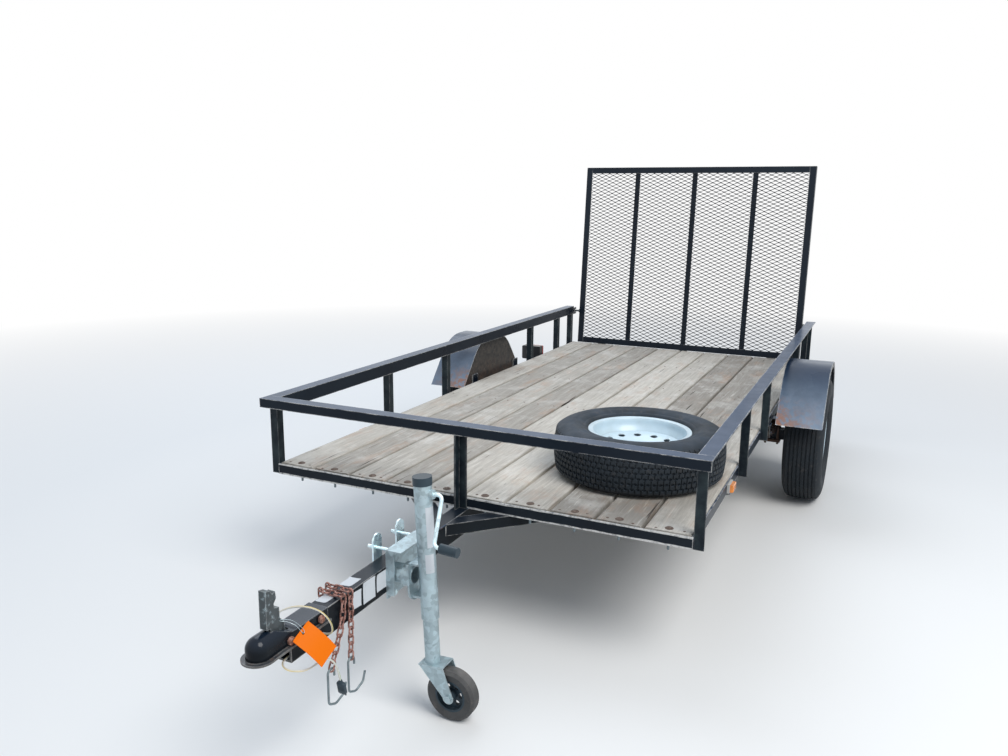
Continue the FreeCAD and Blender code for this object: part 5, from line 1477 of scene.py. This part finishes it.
ROUNDED = {
    "bed_end_sills", "bed_side_rails", "bed_crossmembers", "top_rail_front", "top_rails_side", "rail_posts",
    "tongue_tube", "tongue_braces", "side_brackets", "gate_latch_keepers", "gate_stiles", "gate_end_bars",
    "gate_uprights", "fenders", "tail_lamps", "tail_lamp_lenses", "side_markers", "side_marker_lenses",
    "leaf_springs", "axle_beam", "jack_bracket", "jack_clamp_straps", "coupler_latch", "jack_fork",
}
SOFT_EDGES = {"jack_cap": 5.0, "jack_crank_grip": 2.5}


def round_edges(piece, width, segments):
    edge = piece.modifiers.new("Rounded edges", "BEVEL")
    edge.width, edge.segments = width, segments
    edge.limit_method, edge.angle_limit = "ANGLE", math.radians(40)
    edge.harden_normals = True


def make_finishes():
    """Gives the nodes that no piece replaces their finish, and rounds the edges of some."""
    for coat, names in CAD_COATS.items():
        for name in names:
            piece = frame["nodes"][name]
            piece.data.materials.clear()
            piece.data.materials.append(finish(coat))
            if name in SOFT_EDGES:
                round_edges(piece, mm(SOFT_EDGES[name]), 4)
            elif name in ROUNDED:
                round_edges(piece, sizes().edge_round, 2)


# Operators, panel and registration

class TRAILER_OT_stage(bpy.types.Operator):
    """Sets up the camera, the lamps, the sky and the floor"""
    bl_idname = "trailer.stage"
    bl_label = "Stage"

    def execute(self, context):
        make_stage()
        return {"FINISHED"}


class TRAILER_OT_wiring(bpy.types.Operator):
    """Lays the lighting harness and its plug"""
    bl_idname = "trailer.wiring"
    bl_label = "Wiring"

    def execute(self, context):
        make_wiring()
        return {"FINISHED"}


class TRAILER_OT_boards(bpy.types.Operator):
    """Lays the weathered boards and their screws"""
    bl_idname = "trailer.boards"
    bl_label = "Deck boards"

    def execute(self, context):
        make_boards()
        return {"FINISHED"}


class TRAILER_OT_gate_mesh(bpy.types.Operator):
    """Weaves the gate's expanded metal"""
    bl_idname = "trailer.gate_mesh"
    bl_label = "Gate mesh"

    def execute(self, context):
        make_gate_mesh()
        return {"FINISHED"}


class TRAILER_OT_latch_springs(bpy.types.Operator):
    """Winds the springs on the gate's latch pins"""
    bl_idname = "trailer.latch_springs"
    bl_label = "Latch springs"

    def execute(self, context):
        make_latch_springs()
        return {"FINISHED"}


class TRAILER_OT_tyres(bpy.types.Operator):
    """Moulds the road tyres and the spare"""
    bl_idname = "trailer.tyres"
    bl_label = "Tyres"

    def execute(self, context):
        make_tyres()
        return {"FINISHED"}


class TRAILER_OT_rims(bpy.types.Operator):
    """Presses the three wheels with their vents and stud holes"""
    bl_idname = "trailer.rims"
    bl_label = "Wheels"

    def execute(self, context):
        make_rims()
        return {"FINISHED"}


class TRAILER_OT_wheel_nuts(bpy.types.Operator):
    """Fits hexagonal nuts on the wheel studs"""
    bl_idname = "trailer.wheel_nuts"
    bl_label = "Wheel nuts"

    def execute(self, context):
        make_lug_nuts()
        return {"FINISHED"}


class TRAILER_OT_chains(bpy.types.Operator):
    """Forges the chains' links from round wire"""
    bl_idname = "trailer.chains"
    bl_label = "Safety chains"

    def execute(self, context):
        make_chains()
        return {"FINISHED"}


class TRAILER_OT_labels(bpy.types.Operator):
    """Sticks blank labels on the tongue and the jack"""
    bl_idname = "trailer.labels"
    bl_label = "Labels"

    def execute(self, context):
        make_labels()
        return {"FINISHED"}


class TRAILER_OT_tag(bpy.types.Operator):
    """Ties a blank tag to the coupler"""
    bl_idname = "trailer.tag"
    bl_label = "Tag"

    def execute(self, context):
        make_tag()
        return {"FINISHED"}


class TRAILER_OT_sill_bolts(bpy.types.Operator):
    """Fits the bolts that hold the boards to the front sill"""
    bl_idname = "trailer.sill_bolts"
    bl_label = "Deck bolts"

    def execute(self, context):
        make_sill_bolts()
        return {"FINISHED"}


class TRAILER_OT_welds(bpy.types.Operator):
    """Runs weld beads along the frame's joints"""
    bl_idname = "trailer.welds"
    bl_label = "Welds"

    def execute(self, context):
        make_welds()
        return {"FINISHED"}


class TRAILER_OT_finishes(bpy.types.Operator):
    """Gives every remaining piece its finish"""
    bl_idname = "trailer.finishes"
    bl_label = "Finishes"

    def execute(self, context):
        make_finishes()
        return {"FINISHED"}


PARTS = [
    TRAILER_OT_stage, TRAILER_OT_wiring, TRAILER_OT_boards, TRAILER_OT_gate_mesh, TRAILER_OT_latch_springs,
    TRAILER_OT_tyres, TRAILER_OT_rims, TRAILER_OT_wheel_nuts, TRAILER_OT_chains, TRAILER_OT_labels,
    TRAILER_OT_tag, TRAILER_OT_sill_bolts, TRAILER_OT_welds, TRAILER_OT_finishes,
]


class TRAILER_PT_panel(bpy.types.Panel):
    """Lists the trailer's pieces and settings"""
    bl_label = "Utility trailer"
    bl_idname = "TRAILER_PT_panel"
    bl_space_type = "VIEW_3D"
    bl_region_type = "UI"
    bl_category = "Trailer"

    def draw(self, context):
        for part in PARTS:
            self.layout.operator(part.bl_idname)
        for group in (context.scene.trailer_sizes, context.scene.trailer_colours):
            box = self.layout.box()
            for name in group.bl_rna.properties.keys():
                if name not in ("rna_type", "name"):
                    box.prop(group, name)


CLASSES = [TrailerSizes, TrailerColours, *PARTS, TRAILER_PT_panel]


def register():
    for item in CLASSES:
        bpy.utils.register_class(item)
    bpy.types.Scene.trailer_sizes = PointerProperty(type=TrailerSizes)
    bpy.types.Scene.trailer_colours = PointerProperty(type=TrailerColours)


def unregister():
    del bpy.types.Scene.trailer_colours
    del bpy.types.Scene.trailer_sizes
    for item in reversed(CLASSES):
        bpy.utils.unregister_class(item)


def main():
    register()
    for part in PARTS:
        area, name = part.bl_idname.split(".")
        getattr(getattr(bpy.ops, area), name)()
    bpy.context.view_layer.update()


if __name__ == "__main__":
    main()
